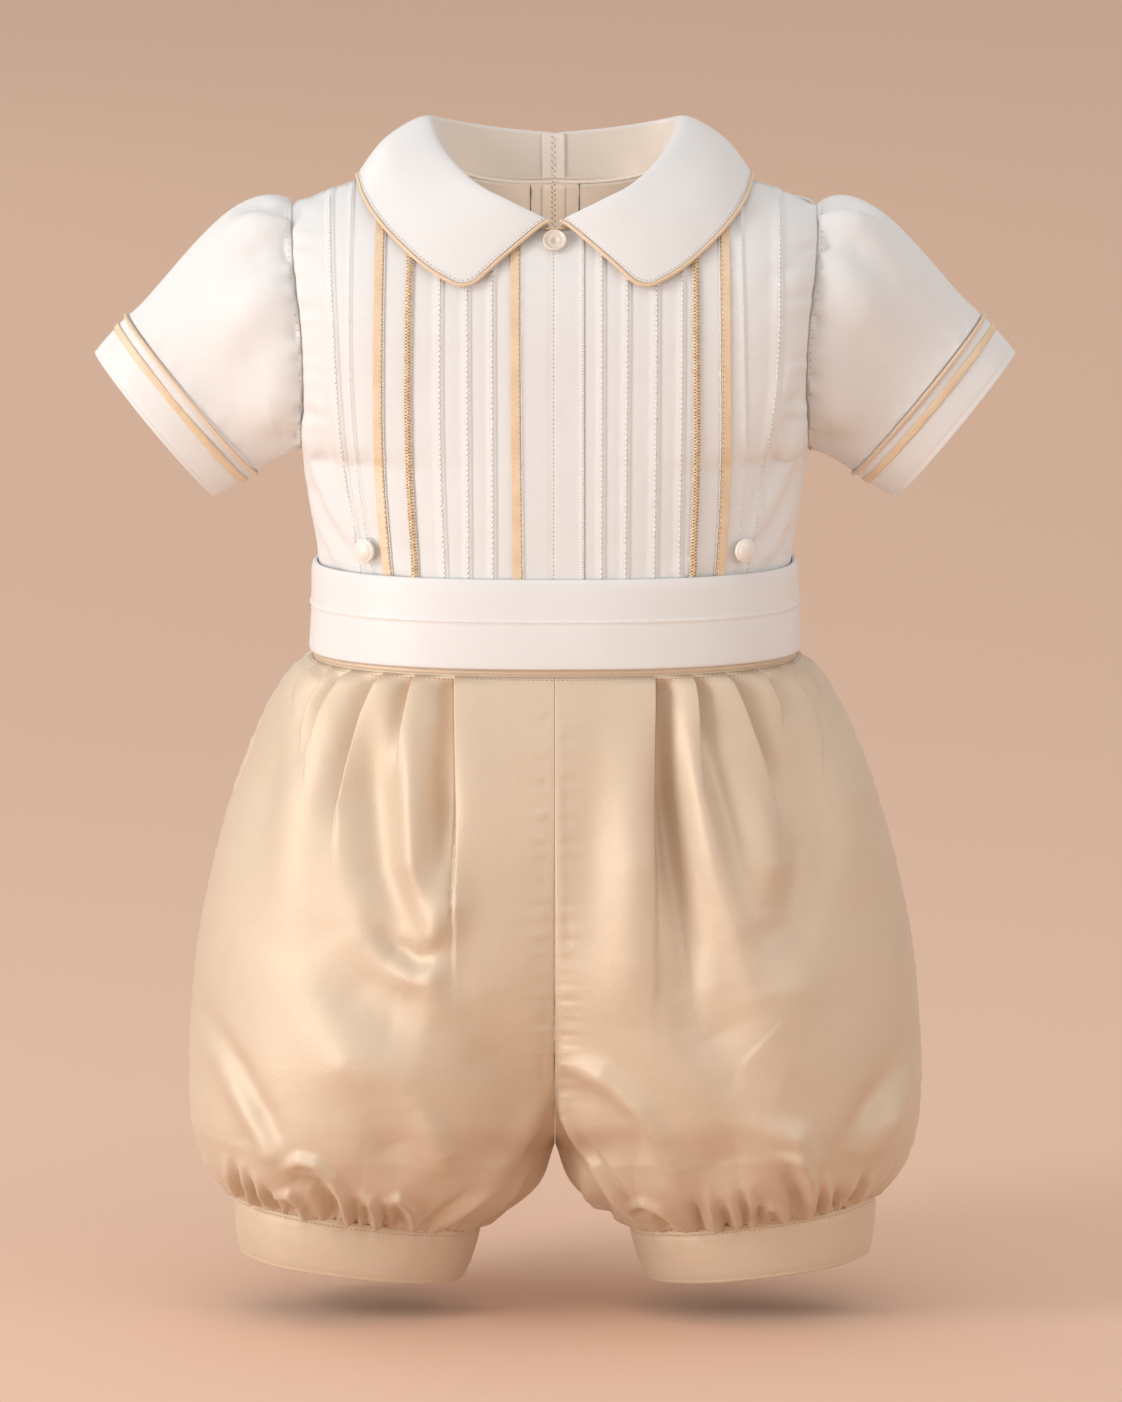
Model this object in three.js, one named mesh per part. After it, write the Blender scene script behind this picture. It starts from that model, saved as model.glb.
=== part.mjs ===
import * as THREE from "three";

// A christening suit for a child of about one year, in millimetres: a tucked shirt with a pointed
// collar, a satin sash and bloused shorts. +Z is up, the front faces -Y and +X is the viewer's right.
// The origin lies midway between the shoulder seams, where the wearer's shoulders carry the suit.

// Cloth thicknesses and gaps
const shirtCloth = 1.2;
const shortsCloth = 1.3;
const collarCloth = 1.2;
const bandCloth = 1.6;
const trimCloth = 0.8;
const seamGap = 0.3;
const trimRise = 0.5;

// Heights
const hemZ = -171.4;
const underarmZ = -106;
const armholeMidZ = -56;
const neckFrontDrop = 23.5;
const neckBackDrop = 11;
const sashTopZ = -151.5;
const sashBottomZ = -188;
const waistbandBottomZ = -190.4;

// Widths and depths
const neckHalf = 42;
const armholeDepth = 40;
const shoulderSeamY = 2;
const bodyFullness = 2.5;
const placketLeft = -13.6;
const placketRight = 11.4;
const backPlacketHalf = 10;

// Sections of the shirt from hem to shoulder: half width and depth before and behind the side seam.
const shirtRows = [
  { z: -172, half: 96, front: 71, back: 59 },
  { z: -151, half: 97.2, front: 70.5, back: 59.5 },
  { z: -128, half: 100.8, front: 70.5, back: 61 },
  { z: -106, half: 103.7, front: 70, back: 62 },
  { z: -84, half: 102.4, front: 68.5, back: 61.5 },
  { z: -56, half: 102.8, front: 66, back: 60 },
  { z: -23, half: 106.4, front: 62, back: 55 },
  { z: 12, half: 107.4, front: 59, back: 51 },
];

// Height of the shoulder seam, from the neck out to the armhole.
const shoulderRows = [
  { x: 0, z: 12 },
  { x: 42, z: 9.5 },
  { x: 60, z: 8 },
  { x: 81, z: 4 },
  { x: 95, z: -0.8 },
  { x: 107.4, z: -6 },
];

// What is sewn down the fronts, as distances from the centre at four heights. A tape or tuck is
// raised in the panel. A gold ribbon or braid is a piece of its own that lies on it.
const leftTrims = [
  { kind: "ribbon", node: "ribbon_left_inner", shoulder: 16.1, chest: 16, belly: 15.6, waist: 15.1, width: 3.8 },
  { kind: "tape", shoulder: 25.4, chest: 25.3, belly: 25.1, waist: 25, width: 2.8 },
  { kind: "tape", shoulder: 35.5, chest: 35.4, belly: 35.1, waist: 34.9, width: 2.8 },
  { kind: "tape", shoulder: 46, chest: 46.6, belly: 46, waist: 44.2, width: 2.8 },
  { kind: "braid", node: "braid_left", shoulder: 58, chest: 59.4, belly: 58.8, waist: 55.7, width: 3.6 },
  { kind: "ribbon", node: "ribbon_left_outer", shoulder: 70.6, chest: 71.6, belly: 71, waist: 67.4, width: 3.5 },
  { kind: "tuck", shoulder: 82.7, chest: 82.9, belly: 80, waist: 73.2, width: 1.6 },
  { kind: "tape", shoulder: 92, chest: 88.7, belly: 85.2, waist: 77.6, width: 2.8 },
];
const rightTrims = [
  { kind: "tape", shoulder: 19, chest: 19, belly: 18.9, waist: 18.8, width: 2.8 },
  { kind: "tape", shoulder: 29.5, chest: 29.2, belly: 28.8, waist: 28.5, width: 2.8 },
  { kind: "tape", shoulder: 41.3, chest: 41, belly: 40.6, waist: 40, width: 2.8 },
  { kind: "tape", shoulder: 51.7, chest: 51.4, belly: 50.8, waist: 50, width: 2.4 },
  { kind: "braid", node: "braid_right", shoulder: 56.9, chest: 57.2, belly: 57.1, waist: 55.3, width: 3.6 },
  { kind: "ribbon", node: "ribbon_right", shoulder: 68.7, chest: 69.3, belly: 69.2, waist: 66.8, width: 3.6 },
  { kind: "tuck", shoulder: 75.1, chest: 76.6, belly: 76.9, waist: 72.6, width: 1.4 },
  { kind: "tape", shoulder: 91.4, chest: 90, belly: 84.6, waist: 77, width: 2.8 },
];
const trimHeights = { waist: -158, belly: -110, chest: -67, shoulder: 4 };
const tapeLift = 0.8;
const tapeFoot = 0.7;

// Right half of the collar from the front (0) round the neck to the back (1): the roll line and the
// outer edge. The neck seam comes from the shirt.
const collarRows = [
  { u: 0, rollX: 3.4, rollY: -49.2, rollZ: -7.4, edgeX: 35.9, edgeY: -63.2, edgeZ: -33.5, bulge: 0.8 },
  { u: 0.12, rollX: 19.4, rollY: -47, rollZ: 0.4, edgeX: 50.2, edgeY: -58.2, edgeZ: -26, bulge: 1.6 },
  { u: 0.25, rollX: 31.8, rollY: -41, rollZ: 6.6, edgeX: 63, edgeY: -49.5, edgeZ: -15.6, bulge: 2.6 },
  { u: 0.37, rollX: 43, rollY: -27, rollZ: 15.8, edgeX: 72.3, edgeY: -39, edgeZ: -6, bulge: 3.2 },
  { u: 0.44, rollX: 49, rollY: -12, rollZ: 23, edgeX: 77.6, edgeY: -26, edgeZ: 1.4, bulge: 3.6 },
  { u: 0.5, rollX: 51.6, rollY: 2, rollZ: 29.3, edgeX: 80.6, edgeY: -3, edgeZ: 7, bulge: 3.8 },
  { u: 0.56, rollX: 50.6, rollY: 13, rollZ: 29.4, edgeX: 80.2, edgeY: 15, edgeZ: 5.7, bulge: 3.8 },
  { u: 0.63, rollX: 47.2, rollY: 22, rollZ: 28, edgeX: 76, edgeY: 29, edgeZ: -1.2, bulge: 3.8 },
  { u: 0.75, rollX: 36.5, rollY: 34, rollZ: 25, edgeX: 57, edgeY: 43.6, edgeZ: -12.5, bulge: 3.6 },
  { u: 0.88, rollX: 19.5, rollY: 41, rollZ: 22, edgeX: 29, edgeY: 50.4, edgeZ: -20, bulge: 3.4 },
  { u: 1, rollX: 1.2, rollY: 42.6, rollZ: 20.3, edgeX: 1.2, edgeY: 52.8, edgeZ: -22.5, bulge: 3.2 },
];

// Right leg of the shorts from the waistband (0) to the leg cuff (1): reach and height of the outer
// side, height of the inner side, where the leg's middle lies, and its depths.
const legRows = [
  { v: 0, outer: 99.7, outerZ: -191.1, innerZ: -191.1, middle: 0, front: 74.7, back: 62.7, fullness: 2.5 },
  { v: 0.05, outer: 108.2, outerZ: -196.5, innerZ: -197.5, middle: 0.5, front: 78.5, back: 67.5, fullness: 2.4 },
  { v: 0.13, outer: 117.8, outerZ: -212, innerZ: -213, middle: 4, front: 83.5, back: 74, fullness: 2.3 },
  { v: 0.24, outer: 128, outerZ: -237, innerZ: -238, middle: 12, front: 87.5, back: 80, fullness: 2.2 },
  { v: 0.37, outer: 138.6, outerZ: -268, innerZ: -270, middle: 25, front: 91, back: 86, fullness: 2.15 },
  { v: 0.52, outer: 147.6, outerZ: -309, innerZ: -313, middle: 43.5, front: 93, back: 90, fullness: 2.1 },
  { v: 0.66, outer: 151.2, outerZ: -346, innerZ: -351, middle: 58.5, front: 92, back: 90, fullness: 2.1 },
  { v: 0.76, outer: 151.8, outerZ: -369, innerZ: -377, middle: 67.6, front: 88, back: 86, fullness: 2.1 },
  { v: 0.84, outer: 150.4, outerZ: -388, innerZ: -396, middle: 75.3, front: 80, back: 78, fullness: 2.1 },
  { v: 0.92, outer: 144.8, outerZ: -404, innerZ: -413, middle: 76.2, front: 66, back: 65, fullness: 2.05 },
  { v: 1, outer: 133.2, outerZ: -416.6, innerZ: -430.2, middle: 81.7, front: 40.3, back: 40.3, fullness: 2 },
];

// Pleats below the waistband, by distance from the centre at the seam: how deep they lie, how long
// they run down and how wide the soft swell beside each one is.
const pleatRows = [
  { seamX: 41.6, depth: 5.4, length: 96, swell: 8 },
  { seamX: 57, depth: 4.6, length: 60, swell: 6 },
  { seamX: 70, depth: 4.8, length: 66, swell: 6 },
  { seamX: 82, depth: 4, length: 50, swell: 5 },
  { seamX: 91, depth: 2.8, length: 36, swell: 3.5 },
  { seamX: 97, depth: 1.8, length: 20, swell: 2.2 },
];
const cuffGathers = 22;
const gatherDepth = 3.4;
const gatherLength = 0.15;

// Bands and sleeves
const sashRidgeAt = 0.47;
const sashOutTop = 3.4;
const sashOutBottom = 5.5;
const waistbandOut = 3.6;
const pipingRadius = 0.65;
const pipingGap = 0.55;
const pipingCorner = 1.75;
const backButtonHeights = [-14, -62, -110];
const legCuff = {
  topX: 81.7, topZ: -423.7, topHalf: 51.5, topDepth: 40, topTilt: 7.5,
  bottomX: 84.2, bottomZ: -447.3, bottomHalf: 47, bottomDepth: 36.5, bottomTilt: 6.4,
};
const sleeveEnd = { x: 148.5, z: -83.4, half: 41.6, depth: 25, slope: 39.4 };
const headGathers = 9;
const headGatherDepth = 0.9;
const sleeveCuff = { length: 20.6, endHalf: 38.6, endDepth: 23, pipingWidth: 1.3, ribbonFrom: 5.2, ribbonWidth: 3 };

const white = { color: 0xf6f2ef, roughness: 0.5 };
const offWhite = { color: 0xe9e2da, roughness: 0.75 };
const champagne = { color: 0xdcc19c, roughness: 0.42 };
const gold = { color: 0xd9b583, roughness: 0.4 };
const buttonWhite = { color: 0xf1ece6, roughness: 0.3 };

const suit = new THREE.Group();

const { clamp, lerp, degToRad } = THREE.MathUtils;

// A smooth curve through one column of a table, read by another column.
function through(rows, key, field) {
  const knots = rows.map((row) => row[key]);
  const values = rows.map((row) => row[field]);
  const last = knots.length - 1;
  const slopes = values.map((value, i) => {
    const before = Math.max(i - 1, 0);
    const after = Math.min(i + 1, last);
    return (values[after] - values[before]) / (knots[after] - knots[before]);
  });
  return (at) => {
    const x = clamp(at, knots[0], knots[last]);
    let i = 0;
    while (i < last - 1 && x > knots[i + 1]) i += 1;
    const span = knots[i + 1] - knots[i];
    const t = (x - knots[i]) / span;
    const s = 1 - t;
    return values[i] * s * s * (1 + 2 * t) + values[i + 1] * t * t * (1 + 2 * s)
      + span * t * s * (slopes[i] * s - slopes[i + 1] * t);
  };
}

function steps(count) {
  return Array.from({ length: count + 1 }, (unused, i) => i / count);
}

function ringSteps(count) {
  return steps(count).slice(0, -1);
}

// Joins two rows of corners that may differ in number, always going on along the row that lags.
function joinRows(faces, first, second, firstAt, secondAt, ring) {
  const ends = [first, second].map((row) => row.length - (ring ? 0 : 1));
  const at = (list, i) => (i < list.length ? list[i] : list[i - list.length] + 1);
  let i = 0;
  let j = 0;
  while (i < ends[0] || j < ends[1]) {
    const a = first[i % first.length];
    const b = second[j % second.length];
    const goFirst = i < ends[0] && (j >= ends[1] || at(firstAt, i + 1) <= at(secondAt, j + 1));
    if (goFirst) {
      i += 1;
      faces.push([a, first[i % first.length], b]);
    } else {
      j += 1;
      faces.push([a, second[j % second.length], b]);
    }
  }
}

// A closed wall of cloth. place(u, v) gives its outer face, rows lists each v with its columns u,
// and the inner face is the outer one moved in along the surface's own normal.
function wall(place, { rows, thickness, side = 1, ring = false, lift = () => 0 }) {
  const nudge = 0.002;
  const corners = [];
  const outer = [];
  const inner = [];
  for (const { v, columns } of rows) {
    const outerRow = [];
    const innerRow = [];
    for (const u of columns) {
      const low = ring ? u - nudge : Math.max(u - nudge, 0);
      const high = ring ? u + nudge : Math.min(u + nudge, 1);
      const along = place(high, v).sub(place(low, v));
      const down = place(u, Math.min(v + nudge, 1)).sub(place(u, Math.max(v - nudge, 0)));
      const normal = along.cross(down).normalize().multiplyScalar(side);
      const face = place(u, v);
      outerRow.push(corners.length);
      corners.push(face.clone().addScaledVector(normal, lift(u, v)));
      innerRow.push(corners.length);
      corners.push(face.clone().addScaledVector(normal, -thickness));
    }
    outer.push(outerRow);
    inner.push(innerRow);
  }
  const faces = [];
  const flipped = [];
  for (let r = 0; r + 1 < rows.length; r += 1) {
    joinRows(faces, outer[r], outer[r + 1], rows[r].columns, rows[r + 1].columns, ring);
    joinRows(flipped, inner[r], inner[r + 1], rows[r].columns, rows[r + 1].columns, ring);
  }
  const last = rows.length - 1;
  joinRows(flipped, outer[0], inner[0], rows[0].columns, rows[0].columns, ring);
  joinRows(faces, outer[last], inner[last], rows[last].columns, rows[last].columns, ring);
  if (!ring) {
    const heights = rows.map((row) => row.v);
    const column = (list, end) => list.map((row) => row[end ? row.length - 1 : 0]);
    joinRows(faces, column(outer, false), column(inner, false), heights, heights, false);
    joinRows(flipped, column(outer, true), column(inner, true), heights, heights, false);
  }
  for (const [a, b, c] of flipped) faces.push([a, c, b]);
  return closedGeometry(corners, faces);
}

// Makes the geometry, with its faces turned so that they point out.
function closedGeometry(corners, faces) {
  let volume = 0;
  for (const [a, b, c] of faces) {
    volume += corners[a].dot(corners[b].clone().cross(corners[c]));
  }
  const index = volume > 0 ? faces.flat() : faces.map(([a, b, c]) => [a, c, b]).flat();
  const geometry = new THREE.BufferGeometry();
  geometry.setAttribute("position", new THREE.Float32BufferAttribute(corners.flatMap((p) => p.toArray()), 3));
  geometry.setIndex(index);
  return geometry;
}

function add(name, geometry, finish) {
  const mesh = new THREE.Mesh(geometry, new THREE.MeshStandardMaterial({ metalness: 0, ...finish }));
  mesh.name = name;
  suit.add(mesh);
  return mesh;
}

function grid(heights, columns) {
  return heights.map((v) => ({ v, columns }));
}

// Shirt body
const shirtHalf = through(shirtRows, "z", "half");
const shirtFront = through(shirtRows, "z", "front");
const shirtBack = through(shirtRows, "z", "back");
const shoulderZ = through(shoulderRows, "x", "z");

// The shirt's outer face: face is -1 in front and 1 behind. Above the underarm the cloth ends at the
// armhole, and towards the shoulder seam it curves over.
function shirtPoint(x, z, face) {
  const half = shirtHalf(z);
  const depth = face < 0 ? shirtFront(z) : shirtBack(z);
  const under = clamp((armholeMidZ - z) / (armholeMidZ - underarmZ), 0, 1);
  const edge = armholeDepth * Math.sqrt(1 - under * under);
  const across = Math.min(Math.abs(x) / half, 1);
  const full = edge + (depth - edge) * (1 - across ** bodyFullness) ** (1 / bodyFullness);
  const over = clamp((z - armholeMidZ) / (shoulderZ(Math.abs(x)) - armholeMidZ), 0, 1);
  const y = shoulderSeamY * over ** 4 + (face * full - shoulderSeamY * over ** 4) * Math.sqrt(1 - over * over);
  return new THREE.Vector3(x, y + face * seamGap / 2, z);
}

function shirtNormal(x, z, face) {
  const step = 0.5;
  const across = shirtPoint(x + step, z, face).sub(shirtPoint(x - step, z, face));
  const up = shirtPoint(x, z + step, face).sub(shirtPoint(x, z - step, face));
  return across.cross(up).normalize().multiplyScalar(-face);
}

// Top edge of a panel: the neck curve, then the shoulder seam.
function topEdge(x, face) {
  const drop = face < 0 ? neckFrontDrop : neckBackDrop;
  const across = Math.abs(x) / neckHalf;
  return across < 1 ? shoulderZ(Math.abs(x)) - drop * Math.sqrt(1 - across * across) : shoulderZ(Math.abs(x));
}

const panelHeights = [0, 0.13, 0.28, 0.44, 0.58, 0.7, 0.81, 0.9, 0.965, 1];

// A panel is a list of upright lines, each giving its distance from the centre at any height.
function panelPlace(lines, sign, face) {
  const last = lines.length - 1;
  return (u, v) => {
    const at = clamp(u, 0, 1) * last;
    const i = Math.min(Math.floor(at), last - 1);
    const mix = at - i;
    const distance = (z) => lerp(lines[i].at(z), lines[i + 1].at(z), mix);
    let top = topEdge(distance(trimHeights.shoulder), face);
    for (let round = 0; round < 5; round += 1) {
      top = topEdge(distance(top), face);
    }
    const z = lerp(hemZ, top, v);
    return shirtPoint(sign * distance(z), z, face);
  };
}

function trimPath(trim) {
  const rows = Object.entries(trimHeights).map(([key, z]) => ({ z, x: trim[key] }));
  return through(rows, "z", "x");
}

function frontPanel(sign, trims, startX) {
  const lines = [{ at: () => startX, lift: 0 }];
  for (const trim of trims) {
    const path = trimPath(trim);
    const half = trim.width / 2;
    if (trim.node) {
      lines.push({ at: path, lift: 0 });
    } else {
      const lift = trim.kind === "tape" ? tapeLift : tapeLift * 0.75;
      lines.push({ at: (z) => path(z) - half - tapeFoot, lift: 0 });
      lines.push({ at: (z) => path(z) - half, lift });
      lines.push({ at: (z) => path(z) + half, lift });
      lines.push({ at: (z) => path(z) + half + tapeFoot, lift: 0 });
    }
  }
  const outermost = lines[lines.length - 1].at;
  for (const part of [0.4, 0.72, 0.92, 1]) {
    lines.push({ at: (z) => lerp(outermost(z), shirtHalf(z), part), lift: 0 });
  }
  const last = lines.length - 1;
  const columns = lines.map((line, i) => i / last);
  return wall(panelPlace(lines, sign, -1), {
    rows: grid(panelHeights, columns),
    thickness: shirtCloth,
    side: sign,
    lift: (u) => lines[Math.round(u * last)].lift,
  });
}

function backPanel(sign) {
  const count = 10;
  const start = backPlacketHalf + seamGap;
  const lines = steps(count).map((part) => ({
    at: (z) => start + (shirtHalf(z) - start) * Math.sin(part * Math.PI / 2),
  }));
  return wall(panelPlace(lines, sign, 1), {
    rows: grid(panelHeights, steps(count)),
    thickness: shirtCloth,
    side: -sign,
  });
}

// An upright strip of cloth from one side of a path to the other, on the shirt's face moved out.
function strip(fromX, toX, face, { rise, thickness, count = 2, topDrop = 0 }) {
  const place = (u, v) => {
    const topX = lerp(fromX(trimHeights.shoulder), toX(trimHeights.shoulder), u);
    const z = lerp(hemZ, topEdge(topX, face) - topDrop, v);
    const x = lerp(fromX(z), toX(z), u);
    return shirtPoint(x, z, face).addScaledVector(shirtNormal(x, z, face), rise);
  };
  return wall(place, { rows: grid(panelHeights, steps(count)), thickness, side: -face });
}

add("front_left", frontPanel(-1, leftTrims, -placketLeft + seamGap), offWhite);
add("front_right", frontPanel(1, rightTrims, placketRight + seamGap), offWhite);
add("front_placket", strip(() => placketLeft, () => placketRight, -1, {
  rise: 0, thickness: shirtCloth, count: 3,
}), offWhite);
add("back_left", backPanel(-1), offWhite);
add("back_right", backPanel(1), offWhite);
add("back_placket", strip(() => -backPlacketHalf, () => backPlacketHalf, 1, {
  rise: 0, thickness: shirtCloth, count: 3,
}), offWhite);

for (const [sign, trims] of [[-1, leftTrims], [1, rightTrims]]) {
  for (const trim of trims.filter((item) => item.node)) {
    const path = trimPath(trim);
    const half = trim.width / 2;
    const from = (z) => sign * path(z) - half;
    const to = (z) => sign * path(z) + half;
    const drop = Math.abs(path(0)) > neckHalf ? 2 : 1;
    add(trim.node, strip(from, to, -1, {
      rise: trimRise + trimCloth, thickness: trimCloth, count: 1, topDrop: drop,
    }), gold);
  }
}

// Collar
const collarColumn = (field) => through(collarRows, "u", field);
const rollAt = ["rollX", "rollY", "rollZ"].map(collarColumn);
const edgeAt = ["edgeX", "edgeY", "edgeZ"].map(collarColumn);
const bulgeAt = collarColumn("bulge");

function neckSeam(u) {
  const angle = Math.PI * (u - 0.5);
  const centre = lerp(3, 0.8, u);
  const x = centre + (neckHalf - centre) * Math.cos(angle);
  const face = u < 0.5 ? -1 : 1;
  return shirtPoint(x, topEdge(x, face), face);
}

// Across the collar: up the stand from the neck seam, over the roll and down the fall.
function collarSection(u) {
  const seam = neckSeam(u);
  const roll = new THREE.Vector3(...rollAt.map((read) => read(u)));
  const edge = new THREE.Vector3(...edgeAt.map((read) => read(u)));
  const outward = new THREE.Vector3(edge.x - seam.x, edge.y - seam.y, 0).normalize();
  const lean = roll.clone().sub(seam).dot(outward);
  const climb = roll.z - seam.z;
  const slant = Math.hypot(lean, climb);
  seam.addScaledVector(outward, (-collarCloth * climb) / slant);
  seam.z += seamGap + 0.35 + (collarCloth * Math.max(lean, 0)) / slant;
  const stand = seam.clone().lerp(roll, 0.55).addScaledVector(outward, -0.05 * slant);
  const fall = roll.clone().lerp(edge, 0.45).addScaledVector(outward, bulgeAt(u));
  fall.z += bulgeAt(u) * 0.6;
  return new THREE.CatmullRomCurve3([seam, stand, roll, fall, edge], false, "centripetal");
}

function collarPlace(sign) {
  return (u, v) => {
    const point = collarSection(clamp(u, 0, 1)).getPoint(clamp(v, 0, 1));
    point.x *= sign;
    return point;
  };
}

const collarHeights = [0, 0.2, 0.38, 0.47, 0.56, 0.7, 0.85, 1];
for (const [sign, label] of [[-1, "left"], [1, "right"]]) {
  add(`collar_${label}`, wall(collarPlace(sign), {
    rows: grid(collarHeights, steps(15)),
    thickness: collarCloth,
    side: -sign,
  }), white);
}

// Sleeves: each runs from the armhole to its slanted end, and puffs out at the head.
const sleeveSlope = degToRad(sleeveEnd.slope);
const sleeveAxis = new THREE.Vector3(Math.cos(sleeveSlope), 0, -Math.sin(sleeveSlope));
const sleeveAcross = new THREE.Vector3(Math.sin(sleeveSlope), 0, Math.cos(sleeveSlope));

// Point on the slanted end: angle 0 is on top and a quarter turn on is in front.
function sleeveEndPoint(angle, half, depth, beyond) {
  return new THREE.Vector3(sleeveEnd.x, 0, sleeveEnd.z)
    .addScaledVector(sleeveAcross, half * Math.cos(angle))
    .addScaledVector(sleeveAxis, beyond)
    .add(new THREE.Vector3(0, -depth * Math.sin(angle), 0));
}

function armholePoint(angle) {
  let tip = shoulderRows[shoulderRows.length - 1].z;
  for (let round = 0; round < 5; round += 1) {
    tip = shoulderZ(shirtHalf(tip));
  }
  const middle = (tip + underarmZ) / 2;
  const z = middle + (tip - middle) * Math.cos(angle);
  const face = Math.sin(angle) >= 0 ? -1 : 1;
  const point = shirtPoint(shirtHalf(z), z, face);
  point.y -= face * seamGap / 2;
  point.x += seamGap + 0.1;
  return point;
}

function sleevePlace(u, v) {
  const angle = 2 * Math.PI * u;
  const start = armholePoint(angle);
  const end = sleeveEndPoint(angle, sleeveEnd.half, sleeveEnd.depth, -seamGap);
  const chord = start.distanceTo(end);
  const leave = new THREE.Vector3(0.9, -0.42 * Math.sin(angle), 0.12 + 0.42 * Math.cos(angle))
    .normalize().multiplyScalar(chord * 1.05);
  const arrive = sleeveAxis.clone().multiplyScalar(chord * 0.9);
  const s = 1 - v;
  const point = start.multiplyScalar(s * s * (1 + 2 * v))
    .addScaledVector(leave, v * s * s)
    .addScaledVector(arrive, -v * v * s)
    .addScaledVector(end, v * v * (1 + 2 * s));
  const head = Math.max(Math.cos(angle), 0) ** 0.7;
  const gather = headGatherDepth * head * Math.cos(headGathers * angle) * v * Math.exp(-v * 7) * 19;
  const middle = new THREE.Vector3(point.x, 0, lerp(armholeMidZ, sleeveEnd.z, v));
  return point.addScaledVector(point.clone().sub(middle).normalize(), gather);
}

for (const [sign, label] of [[-1, "left"], [1, "right"]]) {
  const mirrored = (place) => (u, v) => {
    const point = place(u, v);
    point.x *= sign;
    return point;
  };
  add(`sleeve_${label}`, wall(mirrored(sleevePlace), {
    rows: grid([0, 0.07, 0.17, 0.3, 0.46, 0.64, 0.82, 1], ringSteps(30)),
    thickness: shirtCloth,
    side: sign,
    ring: true,
  }), offWhite);
  const cuffPlace = (from, to, out) => mirrored((u, v) => {
    const beyond = lerp(from, to, v);
    const part = beyond / sleeveCuff.length;
    const half = lerp(sleeveEnd.half, sleeveCuff.endHalf, part) + out;
    const depth = lerp(sleeveEnd.depth, sleeveCuff.endDepth, part) + out;
    return sleeveEndPoint(2 * Math.PI * u, half, depth, beyond);
  });
  const band = { rows: grid([0, 1], ringSteps(28)), side: sign, ring: true };
  add(`sleeve_cuff_${label}`, wall(cuffPlace(seamGap, sleeveCuff.length, 0), {
    ...band, thickness: bandCloth,
  }), white);
  add(`cuff_piping_${label}`, wall(cuffPlace(0.5, 0.5 + sleeveCuff.pipingWidth, seamGap + 1), {
    ...band, thickness: 1,
  }), gold);
  const ribbonEnd = sleeveCuff.ribbonFrom + sleeveCuff.ribbonWidth;
  add(`cuff_ribbon_${label}`, wall(cuffPlace(sleeveCuff.ribbonFrom, ribbonEnd, seamGap + trimCloth), {
    ...band, thickness: trimCloth,
  }), gold);
}

// Sash and shorts waistband: rings that follow the shirt's own section and open out downward.
function bandPlace(fromZ, toZ, outTop, outBottom) {
  return (u, v) => {
    const z = lerp(fromZ, toZ, v);
    const angle = 2 * Math.PI * u;
    const out = lerp(outTop, outBottom, v);
    const half = shirtHalf(z) + out;
    const reach = Math.abs(Math.cos(angle));
    const depth = (Math.sin(angle) < 0 ? shirtFront(z) : shirtBack(z)) + out;
    const bow = (1 - reach ** bodyFullness) ** (1 / bodyFullness);
    return new THREE.Vector3(half * Math.cos(angle), Math.sign(Math.sin(angle)) * depth * bow, z);
  };
}

const ridge = (v) => (Math.abs(v - sashRidgeAt) < 0.01 ? 0.5 : 0);
add("sash", wall(bandPlace(sashTopZ, sashBottomZ, sashOutTop, sashOutBottom), {
  rows: grid([0, sashRidgeAt - 0.03, sashRidgeAt, sashRidgeAt + 0.03, 1], ringSteps(40)),
  thickness: bandCloth,
  side: -1,
  ring: true,
  lift: (u, v) => ridge(v),
}), white);
add("shorts_waistband", wall(bandPlace(hemZ - seamGap, waistbandBottomZ, 0, waistbandOut), {
  rows: grid([0, 0.5, 1], ringSteps(40)), thickness: shortsCloth, side: -1, ring: true,
}), champagne);

// Shorts
const legColumn = Object.fromEntries(
  ["outer", "outerZ", "innerZ", "middle", "front", "back", "fullness"].map((field) => [field, through(legRows, "v", field)]),
);

// How far the cloth is pushed in or out by the pleats above and the gathers below.
function legFold(u, v, x, seamX) {
  const below = legRows[0].outerZ - lerp(legColumn.innerZ(v), legColumn.outerZ(v), 0.5);
  const open = clamp(x / 7, 0, 1);
  let push = 0;
  for (const pleat of pleatRows) {
    const along = clamp(below / pleat.length, 0, 1.6);
    const fade = Math.min(below / 5, 1) * Math.exp(-((along * 1.15) ** 3));
    const off = seamX - pleat.seamX;
    push -= pleat.depth * fade * Math.exp(-((off / 1.7) ** 2));
    push += pleat.depth * 0.4 * fade * Math.exp(-(((Math.abs(off) - pleat.swell * 0.62) / 2.6) ** 2));
  }
  const near = clamp((v - 1 + gatherLength) / gatherLength, 0, 1);
  const wave = Math.cos(2 * Math.PI * cuffGathers * u);
  const hold = Math.min(u * 20, (1 - u) * 20, 1);
  push += gatherDepth * wave * hold * near * (1 - 0.7 * near ** 4);
  return push * open;
}

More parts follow.
